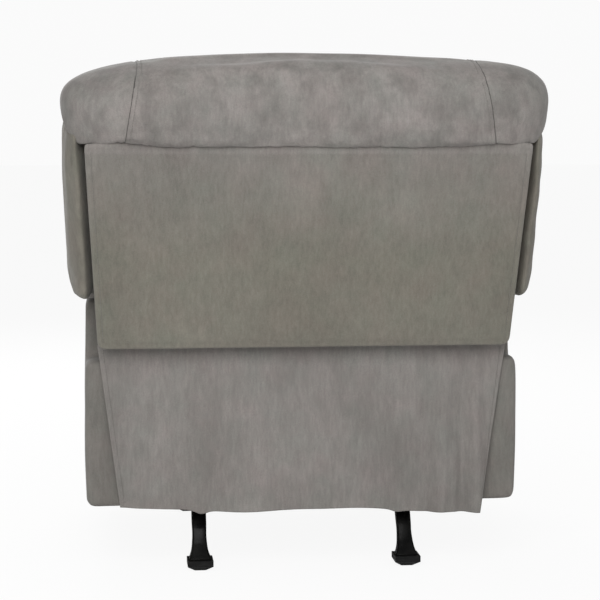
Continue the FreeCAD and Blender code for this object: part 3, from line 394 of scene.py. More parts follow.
def suede(name, dark, light, wear, shade_below=None, smear=None):
    """Napped cloth: brushed patches, fine fibre and paler worn edges.

    wear is how much paler the edges are. shade_below is painted shade: the darker tone that the cloth turns
    to lower down, below a band along the top. smear is how dark the marks are where the nap was rubbed the
    other way.
    """
    made, shader = material(name, light, 0.9, Sheen_Weight=0.2, Sheen_Roughness=0.45, Specular_IOR_Level=0.12)
    place = object_place(made)
    patch = noise_at(made, place, 7.0, 5.0, 0.58, (1.0, 1.0, 0.75))
    streak = noise_at(made, place, 34.0, 5.0, 0.62, (1.7, 1.7, 0.5))
    stroke = noise_at(made, place, 120.0, 3.0, 0.6, (1.6, 1.6, 0.3))
    fibre = noise_at(made, place, 620.0, 3.0, 0.7)
    speck = noise_at(made, place, 170.0, 3.0, 0.6)
    smudge = noise_at(made, place, 3.6, 4.0, 0.6)
    hue = noise_at(made, place, 13.0, 4.0, 0.6)
    colour = tint(made, patch, dark, light, 0.32, 0.68)
    # Painted shade: the cloth darkens towards a duller tone lower down, under a paler band along the top.
    if shade_below:
        split = node(made, "ShaderNodeSeparateXYZ")
        wire(made, place, split.inputs["Vector"])
        height = split.outputs["Z"]
        colour = blended(made, colour, (*shade_below, 1), spread(made, height, SHADE_SHARE, 0.0, SHADE_LOW, SHADE_HIGH))
        colour = blended(made, colour, BAND_TONE, spread(made, height, 0, BAND_SHARE, BAND_LOW, BAND_HIGH))
    layers = [(streak, grey(0.91), grey(1.06), 0.32, 0.68), (stroke, grey(0.92), grey(1.07), 0.32, 0.68),
              (fibre, grey(0.86), grey(1.11), 0.32, 0.68), (smudge, grey(0.87), grey(1.04), 0.32, 0.68),
              (hue, (0.965, 1.0, 0.985), (1.035, 0.995, 1.0), 0.32, 0.68)]
    if smear:
        rubbed = noise_at(made, place, 17.0, 5.0, 0.62, (1.0, 1.0, 0.8))
        layers.append((rubbed, grey(smear), grey(1.03), 0.36, 0.56))
    for layer in layers:
        colour = blended(made, colour, tint(made, *layer), 1.0, "MULTIPLY")
    edge = node(made, "ShaderNodeNewGeometry").outputs["Pointiness"]
    worn = spread(made, edge, 0.0, wear, 0.505, 0.56)
    colour = blended(made, colour, (*[min(1, c * WORN_GAIN) for c in light], 1), worn)
    wire(made, colour, shader.inputs["Base Color"])
    wire(made, spread(made, streak, 0.84, 0.97), shader.inputs["Roughness"])
    bumped(made, shader, [(speck, 0.12, 0.0012), (fibre, 0.25, 0.0005)])
    return made


CLOTH = suede("microsuede", (0.205, 0.192, 0.180), (0.254, 0.239, 0.226), 0.10)
# Painted light: the roll's cloth is a lighter copy of the cloth, for the top of the back where most light
# falls.
CLOTH_ROLL_LIT = suede("microsuede_roll_lit", (0.224, 0.210, 0.197), (0.278, 0.261, 0.247), 0.10, smear=0.80)
# Painted shade: the wings' cloth is a darker, more olive copy of the cloth, for the shade beside the panel.
CLOTH_WING_SHADED = suede("microsuede_wing_shaded", (0.174, 0.163, 0.137), (0.219, 0.205, 0.174), 0.10, smear=0.86)
# Painted shade: the arms' cloth is a darker copy of the cloth, for the arms' recess below the back.
CLOTH_ARM_SHADED = suede("microsuede_arm_shaded", (0.172, 0.162, 0.148), (0.218, 0.205, 0.189), 0.12)
# Painted shade: the panel's cloth is a darker copy of the cloth, and darker and more olive still lower down.
CLOTH_PANEL_SHADED = suede("microsuede_taut_shaded", (0.192, 0.180, 0.164), (0.238, 0.223, 0.207), 0.15,
                    shade_below=(0.190, 0.181, 0.146))
# Painted shadow: near-black cloth for thin strands laid in the seams, where the seams' shade falls.
SEAM_SHADOW_CLOTH, _ = material("seam_shadow", (0.075, 0.070, 0.064), 0.95, Sheen_Weight=0.2)
THREAD, _ = material("thread", (0.16, 0.15, 0.135), 0.8, Sheen_Weight=0.3)


def painted_steel():
    """Gloss black paint with orange peel, dust and small chips."""
    made, shader = material("black_steel", grey(0.005), 0.25, Metallic=0.0, Specular_IOR_Level=0.07,
                            Coat_Weight=0.02, Coat_Roughness=0.1)
    place = object_place(made)
    peel = noise_at(made, place, 220.0, 2.0, 0.5)
    dust = noise_at(made, place, 30.0, 5.0, 0.6)
    colour = tint(made, dust, grey(0.0035), (0.009, 0.0088, 0.008), 0.45, 0.8)
    chips = spread(made, noise_at(made, place, 140.0, 4.0, 0.65), 0.0, 0.8, 0.70, 0.76)
    wire(made, blended(made, colour, (0.07, 0.068, 0.065, 1), chips), shader.inputs["Base Color"])
    wire(made, spread(made, dust, 0.18, 0.42), shader.inputs["Roughness"])
    bumped(made, shader, [(peel, 0.10, 0.0006)])
    return made


def plated_steel():
    """Zinc plate with rolling marks and a mottled lustre."""
    made, shader = material("zinc_steel", (0.55, 0.55, 0.53), 0.35, Metallic=1.0)
    place = object_place(made)
    mottle = noise_at(made, place, 45.0, 5.0, 0.6)
    marks = noise_at(made, place, 300.0, 2.0, 0.5, (1.0, 0.05, 1.0))
    wire(made, tint(made, mottle, (0.44, 0.44, 0.42), (0.62, 0.615, 0.59)), shader.inputs["Base Color"])
    wire(made, spread(made, marks, 0.26, 0.48), shader.inputs["Roughness"])
    bumped(made, shader, [(marks, 0.08, 0.0004)])
    return made


def board(name, dark, light, gloss):
    """Wood with long grain, fine pores and slow changes of tone."""
    made, shader = material(name, light, gloss, Specular_IOR_Level=0.35)
    place = object_place(made)
    rings = noise_at(made, place, 14.0, 6.0, 0.65, (0.35, 2.2, 3.0))
    pores = noise_at(made, place, 160.0, 3.0, 0.6, (0.12, 1.0, 1.0))
    colour = tint(made, rings, dark, light, 0.36, 0.66)
    fine = tint(made, pores, grey(0.78), grey(1.08), 0.35, 0.6)
    wire(made, blended(made, colour, fine, 0.8, "MULTIPLY"), shader.inputs["Base Color"])
    wire(made, spread(made, pores, gloss - 0.08, gloss + 0.12), shader.inputs["Roughness"])
    bumped(made, shader, [(rings, 0.10, 0.0010), (pores, 0.18, 0.0005)])
    return made


def moulded():
    """Moulded black plastic with a spark texture."""
    made, shader = material("black_plastic", grey(0.008), 0.5, Specular_IOR_Level=0.2)
    place = object_place(made)
    spark = noise_at(made, place, 420.0, 2.0, 0.6)
    scuff = noise_at(made, place, 60.0, 5.0, 0.6, (1.0, 1.0, 3.0))
    colour = tint(made, scuff, grey(0.005), (0.018, 0.0175, 0.017), 0.5, 0.85)
    wire(made, colour, shader.inputs["Base Color"])
    wire(made, spread(made, scuff, 0.38, 0.62), shader.inputs["Roughness"])
    bumped(made, shader, [(spark, 0.15, 0.0004)])
    return made


def porous():
    """Cut foam with open cells."""
    made, shader = material("foam", (0.72, 0.68, 0.52), 0.95, Specular_IOR_Level=0.1)
    place = object_place(made)
    cells = node(made, "ShaderNodeTexVoronoi", Scale=420.0)
    wire(made, place, cells.inputs["Vector"])
    age = noise_at(made, place, 8.0, 4.0, 0.6)
    wire(made, tint(made, age, (0.60, 0.55, 0.38), (0.74, 0.70, 0.55)), shader.inputs["Base Color"])
    bumped(made, shader, [(cells.outputs["Distance"], 0.4, 0.0012)])
    return made


def woven():
    """Black elastic webbing with a close plain weave."""
    made, shader = material("webbing", grey(0.05), 0.85, Sheen_Weight=0.2)
    place = object_place(made)
    weave = node(made, "ShaderNodeMath", operation="MULTIPLY")
    for socket, direction in enumerate("XZ"):
        yarn = node(made, "ShaderNodeTexWave", bands_direction=direction, Scale=190.0, Distortion=0.4)
        wire(made, place, yarn.inputs["Vector"])
        wire(made, yarn.outputs["Fac"], weave.inputs[socket])
    colour = tint(made, weave.outputs["Value"], grey(0.03), (0.11, 0.108, 0.10), 0.1, 0.8)
    wire(made, colour, shader.inputs["Base Color"])
    bumped(made, shader, [(weave.outputs["Value"], 0.5, 0.0008)])
    return made


FINISHES = {
    "black_steel": painted_steel(),
    "zinc_steel": plated_steel(),
    "timber": board("timber", (0.40, 0.26, 0.14), (0.66, 0.49, 0.31), 0.62),
    "lever_wood": board("lever_wood", (0.050, 0.024, 0.012), (0.150, 0.075, 0.035), 0.34),
    "black_plastic": moulded(),
    "foam": porous(),
    "webbing": woven(),
    "microsuede": CLOTH,
}
for row in frame["record"]["subparts"]:
    shown = frame["nodes"][row["node"]]
    shown.data.materials.clear()
    shown.data.materials.append(FINISHES[row["material_slot"]])


def dressed(piece, body, nodes, finish):
    """Give a piece its finish, its body and the solids that it stands for."""
    piece.data.materials.clear()
    piece.data.materials.append(finish)
    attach(piece, body)
    if nodes:
        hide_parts(*nodes)


# Stitches, and dark strands that paint the shadow in seams

STITCH_PITCH = 0.0055
STITCH_LENGTH = 0.0038
THREAD_RADIUS = 0.00055
THREAD_PROUD = 0.0004
# Size and depth of the dark strands of painted shadow that lie in seams.
SHADOW_STRAND_RADIUS = 0.0010
SHADOW_STRAND_SINK = 0.0003
STRAND_SIDES = 6
DROP_FROM = 0.25
SHORTEST_ROW = 3


def rows_on(piece, rows, toward, proud):
    """Drop rows of points onto a piece along a direction.

    Gives the path, raised by proud, and the normals of each row that meets the piece.
    """
    tree = BVHTree.FromObject(piece, bpy.context.evaluated_depsgraph_get())
    toward = Vector(toward).normalized()
    for row in rows:
        hits = [tree.ray_cast(Vector(p) - toward * DROP_FROM, toward, 2 * DROP_FROM) for p in row]
        hits = [hit for hit in hits if hit[0] is not None]
        if len(hits) >= SHORTEST_ROW:
            normals = np.array([hit[1] for hit in hits])
            yield np.array([hit[0] for hit in hits]) + proud * normals, normals


def strand_ring(place, side, lift, radius):
    """Points round a thread or a dark strand of painted seam shadow."""
    turns = [math.tau * k / STRAND_SIDES for k in range(STRAND_SIDES)]
    return [place + radius * (math.cos(turn) * side + math.sin(turn) * lift) for turn in turns]


def attached(name, body, points, faces, finish):
    """A thread or a strand of painted seam shadow as a new piece that rides with a body."""
    piece = make(name, points, faces)
    dressed(piece, body, [], finish)


def sewn(piece, name, body, rows, toward):
    """Sew rows of stitches onto a piece. Each stitch dips into the cloth at both ends."""
    points = []
    faces = []
    for path, normals in rows_on(piece, rows, toward, THREAD_PROUD):
        steps = np.linalg.norm(np.diff(path, axis=0), axis=1)
        run = np.concatenate([[0], np.cumsum(steps)])
        for at in np.arange(STITCH_PITCH, run[-1] - STITCH_PITCH, STITCH_PITCH):
            start, middle, end = [np.array([np.interp(at + shift, run, path[:, k]) for k in range(3)])
                                  for shift in (-STITCH_LENGTH / 2, 0, STITCH_LENGTH / 2)]
            lift = np.array([np.interp(at, run, normals[:, k]) for k in range(3)])
            lift /= np.linalg.norm(lift)
            along = (end - start) / (np.linalg.norm(end - start) + 1e-12)
            side = np.cross(along, lift)
            rings = ((start, -0.6, 0.55), (0.6 * start + 0.4 * middle, 0.35, 1.0),
                     (0.6 * end + 0.4 * middle, 0.35, 1.0), (end, -0.6, 0.55))
            faces += closed_tube(len(rings), STRAND_SIDES, len(points))
            for place, rise, swell in rings:
                points += strand_ring(place + THREAD_RADIUS * rise * lift, side, lift, THREAD_RADIUS * swell)
    attached(name, body, points, faces, THREAD)


def shadow_strands(piece, name, body, rows, toward):
    """Lay a thin dark strand in each seam of a piece: a painted shadow along the seam."""
    points = []
    faces = []
    for path, normals in rows_on(piece, rows, toward, -SHADOW_STRAND_SINK):
        faces += closed_tube(len(path), STRAND_SIDES, len(points))
        for i, (place, lift) in enumerate(zip(path, normals)):
            along = path[min(i + 1, len(path) - 1)] - path[max(i - 1, 0)]
            side = np.cross(along, lift)
            side /= np.linalg.norm(side) + 1e-12
            points += strand_ring(place, side, lift, SHADOW_STRAND_RADIUS)
    attached(name, body, points, faces, SEAM_SHADOW_CLOTH)


# Headrest roll: one stuffed cover sewn from a centre panel and two caps

SEAM_UP = 0.512
ROLL_SECTION = np.array([
    (0.1640, 0.5122), (0.1690, 0.5180), (0.1728, 0.5380), (0.1755, 0.5700), (0.1700, 0.6050),
    (0.1500, 0.6350), (0.1160, 0.6570), (0.0720, 0.6670), (0.0250, 0.6620), (-0.0220, 0.6470),
    (-0.0600, 0.6200), (-0.0770, 0.5820), (-0.0750, 0.5420), (-0.0600, 0.5180), (-0.0200, 0.5130),
    (0.0600, 0.5130), (0.1300, 0.5125)])
ROLL_CORE = np.array([0.050, 0.575])
ROLL_END = 0.4830
ROLL_STRAIGHT = 0.360
ROLL_AROUND = 128
ROLL_CAP_STEPS = 20
ROLL_MIDDLE_STEPS = 88
CURVE_STEPS = 24
CAP_SEAM = 0.330
CAP_SEAM_SPREAD = 0.030
CAP_SEAM_HIGH = 0.672
CAP_SEAM_TALL = 0.16
CAP_STITCH = 0.0085
REAR_SEAM_HIGH = 0.640


def closed_curve(corners, count):
    """Even points along a smooth closed curve through corners."""
    size = len(corners)
    fine = []
    for i in range(size):
        a, b, c, d = (corners[(i + k) % size] for k in (-1, 0, 1, 2))
        for t in np.linspace(0, 1, CURVE_STEPS, endpoint=False):
            fine.append(0.5 * (2 * b + (c - a) * t + (2 * a - 5 * b + 4 * c - d) * t ** 2
                               + (3 * b - a - 3 * c + d) * t ** 3))
    fine = np.array(fine + [fine[0]])
    run = np.concatenate([[0], np.cumsum(np.linalg.norm(np.diff(fine, axis=0), axis=1))])
    at = np.linspace(0, run[-1], count, endpoint=False)
    return np.stack([np.interp(at, run, fine[:, k]) for k in range(fine.shape[1])], 1)


def end_factor(across, start, power):
    """Shrink from 1 at start to 0 at the roll's end."""
    share = np.clip((abs(across) - start) / (ROLL_END - start), 0, 1)
    return (1 - share ** power) ** (1 / power)


def seam_wave(across):
    """How far the seam under the roll rises, most where the caps' seams meet it."""
    return 0.0065 * ridge(np.abs(across) - 0.365, 0.055) + 0.0008 * np.sin(across * 41.0)


def roll_seam(up):
    """Distance of a cap's seam from the middle, at a height on the back."""
    return CAP_SEAM + CAP_SEAM_SPREAD * np.clip((CAP_SEAM_HIGH - up) / CAP_SEAM_TALL, 0, 1) ** 0.8


def roll_ring(x, section):
    """The roll's section at a distance across. It closes up at the ends, less so at the sitter's right."""
    full = ramp(-x, 0.10, 0.35)
    drop = (0.0145 - 0.0075 * full) * ramp(abs(x), 0.05, 0.42)
    wide = end_factor(x, 0.345, 2.1)
    tall = end_factor(x, 0.300 + 0.030 * full, 2.36 + 0.25 * full)
    foot = end_factor(x, 0.425, 2.0)
    out = ROLL_CORE[0] + (section[:, 0] - ROLL_CORE[0]) * wide
    over = section[:, 1] - ROLL_CORE[1]
    closed = np.where(over > 0, over * tall, over * foot)
    up = ROLL_CORE[1] + closed - drop * np.clip(over / 0.09, 0, 1) * tall
    up = up + seam_wave(x) * ramp(-over, 0.02, 0.06) * ramp(section[:, 0], 0.02, 0.12)
    return on_back(x, out, up)


def roll_form():
    """Points and faces of the roll from end to end."""
    section = closed_curve(ROLL_SECTION, ROLL_AROUND)
    cap = ROLL_STRAIGHT + (ROLL_END - ROLL_STRAIGHT) * np.sin(np.linspace(0, math.pi / 2, ROLL_CAP_STEPS))
    middle = np.linspace(-ROLL_STRAIGHT, ROLL_STRAIGHT, ROLL_MIDDLE_STEPS)
    stations = np.concatenate([-cap[:0:-1], middle, cap[1:]])
    rings = [roll_ring(x, section) for x in stations[1:-1]]
    points = list(np.concatenate(rings))
    faces = tube_faces(len(rings), ROLL_AROUND)
    for side, start in zip(SIDES, (0, (len(rings) - 1) * ROLL_AROUND)):
        tip = len(points)
        points.append(on_back(side * ROLL_END, *ROLL_CORE))
        for k in range(ROLL_AROUND):
            a = start + k
            b = start + (k + 1) % ROLL_AROUND
            faces.append((b, a, tip) if side < 0 else (a, b, tip))
    return points, faces


def make_roll():
    """The roll's cover, filled and creased."""
    piece = make("headrest_roll_cover", *roll_form())
    across, out, up = in_back(points_of(piece))
    held = up - seam_wave(across) * (out > 0.02) < SEAM_UP + 0.0025
    inflate(piece, held, pressure=3.0, cap=0.006, slack=0.02)
    subdivided(piece)
    points = points_of(piece)
    across, out, up = in_back(points)
    off = np.abs(across) - roll_seam(up)
    groove = -0.0022 * ridge(off, 0.0032)
    stitch_pull = -0.0010 * ridge(off + CAP_STITCH, 0.0020)
    strip = 0.0014 * ridge(off + 0.0045, 0.0026)
    fold = 0.0016 * ridge(up - 0.516, 0.022) * grain_by(1, across * 42, up * 12, out * 12)
    pucker = 0.0014 * ridge(off, 0.022) * grain_by(3, across * 16, up * 60, out * 60)
    slow = 0.0020 * grain(points, 8.0, 2)
    crease = 0.0016 * ramp(np.abs(across), 0.40, 0.47) * grain_by(5, across * 30, up * 20, out * 9)
    nick = np.clip(grain_by(9, across * 105, up * 9, out * 3) - 0.12, 0, 1)
    notch = -0.0040 * nick * ridge(up - 0.520, 0.017) * ramp(out, 0.10, 0.15)
    dent(piece, groove + stitch_pull + strip + fold + pucker + slow + crease + notch)
    dressed(piece, "back", ["headrest_roll", "headrest_side_left", "headrest_side_right"], CLOTH_ROLL_LIT)
    sew_roll(piece)


def sew_roll(piece):
    """The painted seam shadows and the stitches of the roll's two caps, up its rear face and over its top."""
    core_out, core_up = ROLL_CORE
    ups = np.linspace(SEAM_UP + 0.006, REAR_SEAM_HIGH, 40)
    rows = [on_back(side * (roll_seam(ups) - CAP_STITCH), core_out, ups) for side in SIDES]
    sewn(piece, "headrest_roll_rear_stitch", "back", rows, -OUT)
    ups = np.linspace(SEAM_UP + 0.0075, REAR_SEAM_HIGH, 60)
    rows = [on_back(side * roll_seam(ups), core_out, ups) for side in SIDES]
    shadow_strands(piece, "headrest_roll_seam_shadow", "back", rows, -OUT)
    outs = np.linspace(0.150, -0.020, 50)
    tops = np.interp(outs, (-0.022, 0.025, 0.072, 0.116, 0.150), (0.642, 0.656, 0.660, 0.650, 0.630))
    rows = [on_back(side * roll_seam(tops), outs, core_up) for side in SIDES]
    shadow_strands(piece, "headrest_roll_top_seam_shadow", "back", rows, -UP)
    outs = np.linspace(-0.03, 0.125, 40)
    rows = [on_back(side * (roll_seam(0.66) - CAP_STITCH), outs, core_up) for side in SIDES]
    sewn(piece, "headrest_roll_top_stitch", "back", rows, -UP)


# Outside back panel: taut cloth over a board

PANEL_LOW = 0.0975
PANEL_HALF_LOW = 0.415
PANEL_FLARE = 0.022
PANEL_HALF = (PANEL_HALF_LOW + PANEL_FLARE, 0.0048, 0.2072)
PANEL_OUT = 0.1541
PANEL_CORNER = 0.014
PANEL_STITCH = 0.012


def panel_half(up):
    """Half the panel's width at a height on the back."""
    return PANEL_HALF_LOW + PANEL_FLARE * (up - PANEL_LOW) / (SEAM_UP - PANEL_LOW)


def make_panel():
    """The panel's cover: round lower corners, a crowned face, and a wavy upper edge along the roll's seam."""
    points, faces = rounded_box(PANEL_HALF, COVER_CELL, (0.0048, 0.0046, 0.0048), (0.0048, 0.0046, 0.0030))
    up = points[:, 2] + PANEL_LOW + PANEL_HALF[2]
    share = points[:, 0] / PANEL_HALF[0]
    tall = points[:, 2] / PANEL_HALF[2]
    beside = np.clip(np.abs(points[:, 0]) - (PANEL_HALF[0] - PANEL_CORNER), 0, PANEL_CORNER)
    below = np.clip(-points[:, 2] - (PANEL_HALF[2] - PANEL_CORNER), 0, PANEL_CORNER)
    ease = np.maximum(beside, below) / np.maximum(np.hypot(beside, below), 1e-9)
    across = share * panel_half(up) - np.sign(share) * beside * np.where(below > 0, 1 - ease, 0)
    up = up + below * np.where(beside > 0, 1 - ease, 0) + (0.004 + seam_wave(across)) * ramp(tall, 0.80, 1.0)
    crown = 0.006 * np.clip(1 - share ** 4, 0, 1) * np.clip(1 - tall ** 4, 0, 1)
    lip = 0.0025 * ramp(tall, 0.90, 1.0)
    out = PANEL_OUT + points[:, 1] + np.where(points[:, 1] > 0, crown + lip, 0)
    piece = make("outside_back_cover", on_back(across, out, up), faces)
    subdivided(piece)
    points = points_of(piece)
    across, out, up = in_back(points)
    face = ramp(out, 0.1535, 0.1565)
    slow = 0.0012 * grain(points, 5.0, 3)
    side_pull = -0.0015 * ridge(panel_half(up) - np.abs(across) - PANEL_STITCH, 0.0035)
    foot_pull = -0.0012 * ridge(up - PANEL_LOW - 0.010, 0.0035)
    seam_pull = 0.0010 * ridge(up - 0.505, 0.03) * grain_by(4, across * 34, up * 6, 0)
    strip = 0.0012 * ridge(up - 0.4985, 0.0026) * (0.6 + 0.4 * grain_by(6, across * 9, 0, 0))
    dent(piece, face * (slow + side_pull + foot_pull + seam_pull + strip))
    dressed(piece, "back", ["outside_back_panel"], CLOTH_PANEL_SHADED)
    ups = np.linspace(0.112, 0.506, 90)
    rows = [on_back(side * (panel_half(ups) - PANEL_STITCH), PANEL_OUT, ups) for side in SIDES]
    sewn(piece, "outside_back_stitch", "back", rows, -OUT)


def make_border(side, label):
    """The panel's cloth where it turns forward round the frame and meets the wing."""
    half = (0.0016, 0.0390, 0.1450)
    middle_out = 0.1150
    middle_up = 0.3640
    inset = 0.0095
    cell = 0.0060
    edge = (0.0015, 0.0015, 0.0015)
    points, faces = rounded_box(half, cell, edge, edge)
    up = points[:, 2] + middle_up
    turn = 0.004 * ridge(points[:, 1] - half[1], 0.010)
    pull = 0.0012 * grain_by(17 + side, points[:, 1] * 20, up * 26, 0)
    across = side * (points[:, 0] + panel_half(up) - inset + turn + pull)
    places = on_back(across, points[:, 1] + middle_out, up)
    piece = make("outside_back_border_" + label, places, mirrored(faces, side))
    dressed(piece, "back", [], CLOTH_PANEL_SHADED)


# Wings: stuffed bolsters beside the back

WING_HALF = (0.0355, 0.117, 0.184)
WING_CELL = 0.0072
WING_ACROSS = {1: 0.4410, -1: 0.4365}
WING_OUT = 0.028
WING_UP = 0.3615
WING_HELD_INSIDE = 0.4085
WING_HELD_ABOVE = 0.5250


def make_wing(side, label):
    """A wing's cover. Its lower end is drawn in, and it stands clear of the panel in a shadow gap."""
    points, faces = rounded_box(WING_HALF, WING_CELL, (0.026, 0.060, 0.040), (0.0350, 0.125, 0.028))
    drawn = 0.006 * ramp(-points[:, 2] / WING_HALF[2], -0.6, 1.0) * ramp(points[:, 0], -0.02, 0.03)
    across = side * (points[:, 0] + WING_ACROSS[side] - drawn)
    out = points[:, 1] + WING_OUT
    up = points[:, 2] + WING_UP
    gap = 1 - ramp(np.abs(across) - panel_half(up), 0.004, 0.017)
    out = out - 0.050 * gap * ramp(out, 0.02, 0.12)
    piece = make("wing_cover_" + label, on_back(across, out, up), mirrored(faces, side))
    held = (np.abs(across) < WING_HELD_INSIDE) | (up > WING_HELD_ABOVE)
    inflate(piece, held, pressure=4.0, cap=0.005, slack=0.02)
    subdivided(piece)
    points = points_of(piece)
    across, out, up = in_back(points)
    slow = 0.0022 * grain(points, 12.0, 5 + side)
    edge = ridge(out - 0.10, 0.05) + ridge(up - 0.505, 0.03)
    fold = 0.0014 * edge * grain_by(8 + side, across * 10, out * 9, up * 30)
    drape = 0.0016 * ramp(out, -0.02, 0.08) * grain_by(15 + side, across * 30, out * 24, up * 5)
    dent(piece, slow + fold + drape)
    dressed(piece, "back", ["wing_" + label], CLOTH_WING_SHADED)


# Loose rear flap

FLAP_TOP = 0.462
FLAP_TALL = 0.337
FLAP_HALF = 0.416
FLAP_TAPER = 0.044
FLAP_HEM = 0.1200
FLAP_REAR = 0.3032
FLAP_NEAREST = 0.3018
FLAP_THICKNESS = 0.0018
FLAP_STITCH = 0.010
FLAP_COLUMNS = 300
FLAP_ROWS = 110


def flap_half(height):
    """Half the flap's width at a height above the floor."""
    return FLAP_HALF - FLAP_TAPER * (FLAP_TOP - height) / FLAP_TALL


def flap_wave(across, fall):
    """How far the cloth stands off behind its rail: soft folds that deepen towards the hem."""
    loose = ramp(fall, 0.05, 0.95)
    right = -across
    pleat = (0.0105 * ridge(right - (0.290 - 0.010 * fall), 0.020)
             - 0.0080 * ridge(right - (0.262 - 0.016 * fall), 0.016)
             + 0.0115 * ridge(right - (0.352 + 0.004 * fall), 0.015)
             - 0.0075 * ridge(right - 0.326, 0.012))
    slow = (0.0050 * np.sin(across * 15.0 + 0.8 + 0.6 * fall)
            + 0.0025 * np.sin(across * 33.0 - 1.1 + 0.5 * fall)
            + 0.0030 * ridge(across - 0.120, 0.050)
            + 0.0026 * ridge(across - 0.340, 0.016))
    return loose * (0.008 + slow + 0.6 * pleat) + 0.375 * ramp(fall, 0.0, 0.1) * pleat


def make_flap():
    """The flap: thin cloth with folds, a wavy hem, and stitches near its sides."""
    share = np.linspace(-1, 1, FLAP_COLUMNS)[None, :]
    fall = np.linspace(0, 1, FLAP_ROWS)[:, None]
    hem = FLAP_HEM + 0.0083 * share + 0.0042 * np.sin(share * 5.2 + 2.6) + 0.0012 * np.sin(share * 13.0)
    hem = hem - 0.0075 * ridge(share - 0.565, 0.045) - 0.0040 * ridge(share + 0.52, 0.04)
    height = FLAP_TOP + (hem - FLAP_TOP) * fall
    across = share * (flap_half(height) - 0.009 * fall * ramp(-share, 0.2, 1.0))
    rear = np.maximum(FLAP_REAR + flap_wave(across, fall), FLAP_NEAREST)
    faces = []
    for r in range(FLAP_ROWS - 1):
        for c in range(FLAP_COLUMNS - 1):
            a = r * FLAP_COLUMNS + c
            faces.append((a, a + FLAP_COLUMNS, a + FLAP_COLUMNS + 1, a + 1))
    piece = make("rear_flap_cloth", np.stack([across, rear, height], 2).reshape(-1, 3), faces)
    points = points_of(piece)
    slow = 0.0014 * grain(points, 14.0, 11)
    fine = 0.0006 * grain(points * np.array([1.0, 1.0, 0.2]), 55.0, 12)
    points[:, 1] += (slow + fine) * (0.3 + ramp(-points[:, 2], -0.45, -0.28))
    put(piece, points)
    change = piece.modifiers.new("Thick", "SOLIDIFY")
    change.thickness = FLAP_THICKNESS
    change.offset = 0
    baked(piece)
    dressed(piece, "chassis", ["rear_flap"], CLOTH)
    heights = np.linspace(0.455, 0.130, 80)
    rows = [line(side * (flap_half(heights) - FLAP_STITCH), FLAP_REAR, heights) for side in SIDES]
    sewn(piece, "rear_flap_stitch", "chassis", rows, FORWARD)


# Cushions and pads


def make_seat():
    """The seat cushion, with a double row of stitches inside its front and side edges."""
    low = (-0.262, -0.452, 0.4385)
    high = (0.262, 0.088, 0.498)
    insets = (0.020, 0.029)
    piece = cushion("seat_cushion_cover", low, high, (0.022, 0.030, 0.016), (0.022, 0.018, 0.024))
    inflate(piece, points_of(piece)[:, 2] < low[2] + 0.0015, pressure=4.0, cap=0.022, slack=0.01)
    subdivided(piece)
    points = points_of(piece)
    inset = np.minimum(high[0] - np.abs(points[:, 0]), points[:, 1] - low[1])
    slow = 0.003 * grain(points, 7.0, 21)
    fold = 0.0016 * ridge(inset - 0.02, 0.03) * grain(points, 34.0, 22)
    groove = -0.004 * ramp(points[:, 2], 0.47, 0.49) * ridge(inset - 0.024, 0.005)
    dent(piece, slow + fold + groove)
    dressed(piece, "chassis", ["seat_cushion"], CLOTH)
    fronts = np.linspace(-0.428, 0.07, 90)
    wide = np.linspace(-0.236, 0.236, 90)
    rows = [line(side * (high[0] - gap), fronts, high[2]) for side in SIDES for gap in insets]
    rows += [line(wide, low[1] + gap, high[2]) for gap in insets]
    sewn(piece, "seat_cushion_stitch", "chassis", rows, DOWN)


def make_footrest_pad():
    """The footrest's pad, stitched all round its face."""
    low = (-0.259, -0.476, 0.155)
    high = (0.259, -0.433, 0.429)
    inset_stitch = 0.029
    piece = cushion("footrest_pad_cover", low, high, (0.018, 0.018, 0.018), (0.018, 0.008, 0.018))
    inflate(piece, points_of(piece)[:, 1] > high[1] - 0.0015, pressure=3.0, cap=0.008, slack=0.01)
    subdivided(piece)
    points = points_of(piece)
    ends = np.minimum(points[:, 2] - low[2], high[2] - points[:, 2])
    inset = np.minimum(high[0] - np.abs(points[:, 0]), ends)
    slow = 0.0018 * grain(points, 9.0, 31)
    fold = 0.0012 * ridge(inset - 0.02, 0.02) * grain(points, 40.0, 32)
    groove = -0.003 * ramp(-points[:, 1], 0.455, 0.47) * ridge(inset - 0.022, 0.004)
    dent(piece, slow + fold + groove)
    dressed(piece, "footrest", ["footrest_pad"], CLOTH)
    wide = np.linspace(-0.226, 0.226, 90)
    tall = np.linspace(0.188, 0.396, 50)
    rows = [line(wide, low[1], z) for z in (low[2] + inset_stitch, high[2] - inset_stitch)]
    rows += [line(side * (high[0] - inset_stitch), low[1], tall) for side in SIDES]
    sewn(piece, "footrest_pad_stitch", "footrest", rows, BACKWARD)


def make_lumbar():
    """The lower cushion of the back."""
    low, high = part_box("lumbar_cushion")
    half = ((high[0] - low[0]) / 2 - 0.003, 0.0225, 0.092)
    middle_out = -0.0485
    middle_up = 0.136
    held_behind = -0.0275
    points, faces = rounded_box(half, COVER_CELL, (0.020, 0.020, 0.020), (0.020, 0.010, 0.020))
    out = points[:, 1] + middle_out
    piece = make("lumbar_cushion_cover", on_back(points[:, 0], out, points[:, 2] + middle_up), faces)
    inflate(piece, out > held_behind, pressure=4.0, cap=0.016, slack=0.01)
    subdivided(piece)
    points = points_of(piece)
    dent(piece, 0.0025 * grain(points, 9.0, 41) + 0.0010 * grain(points, 36.0, 42))
    dressed(piece, "back", ["lumbar_cushion"], CLOTH)


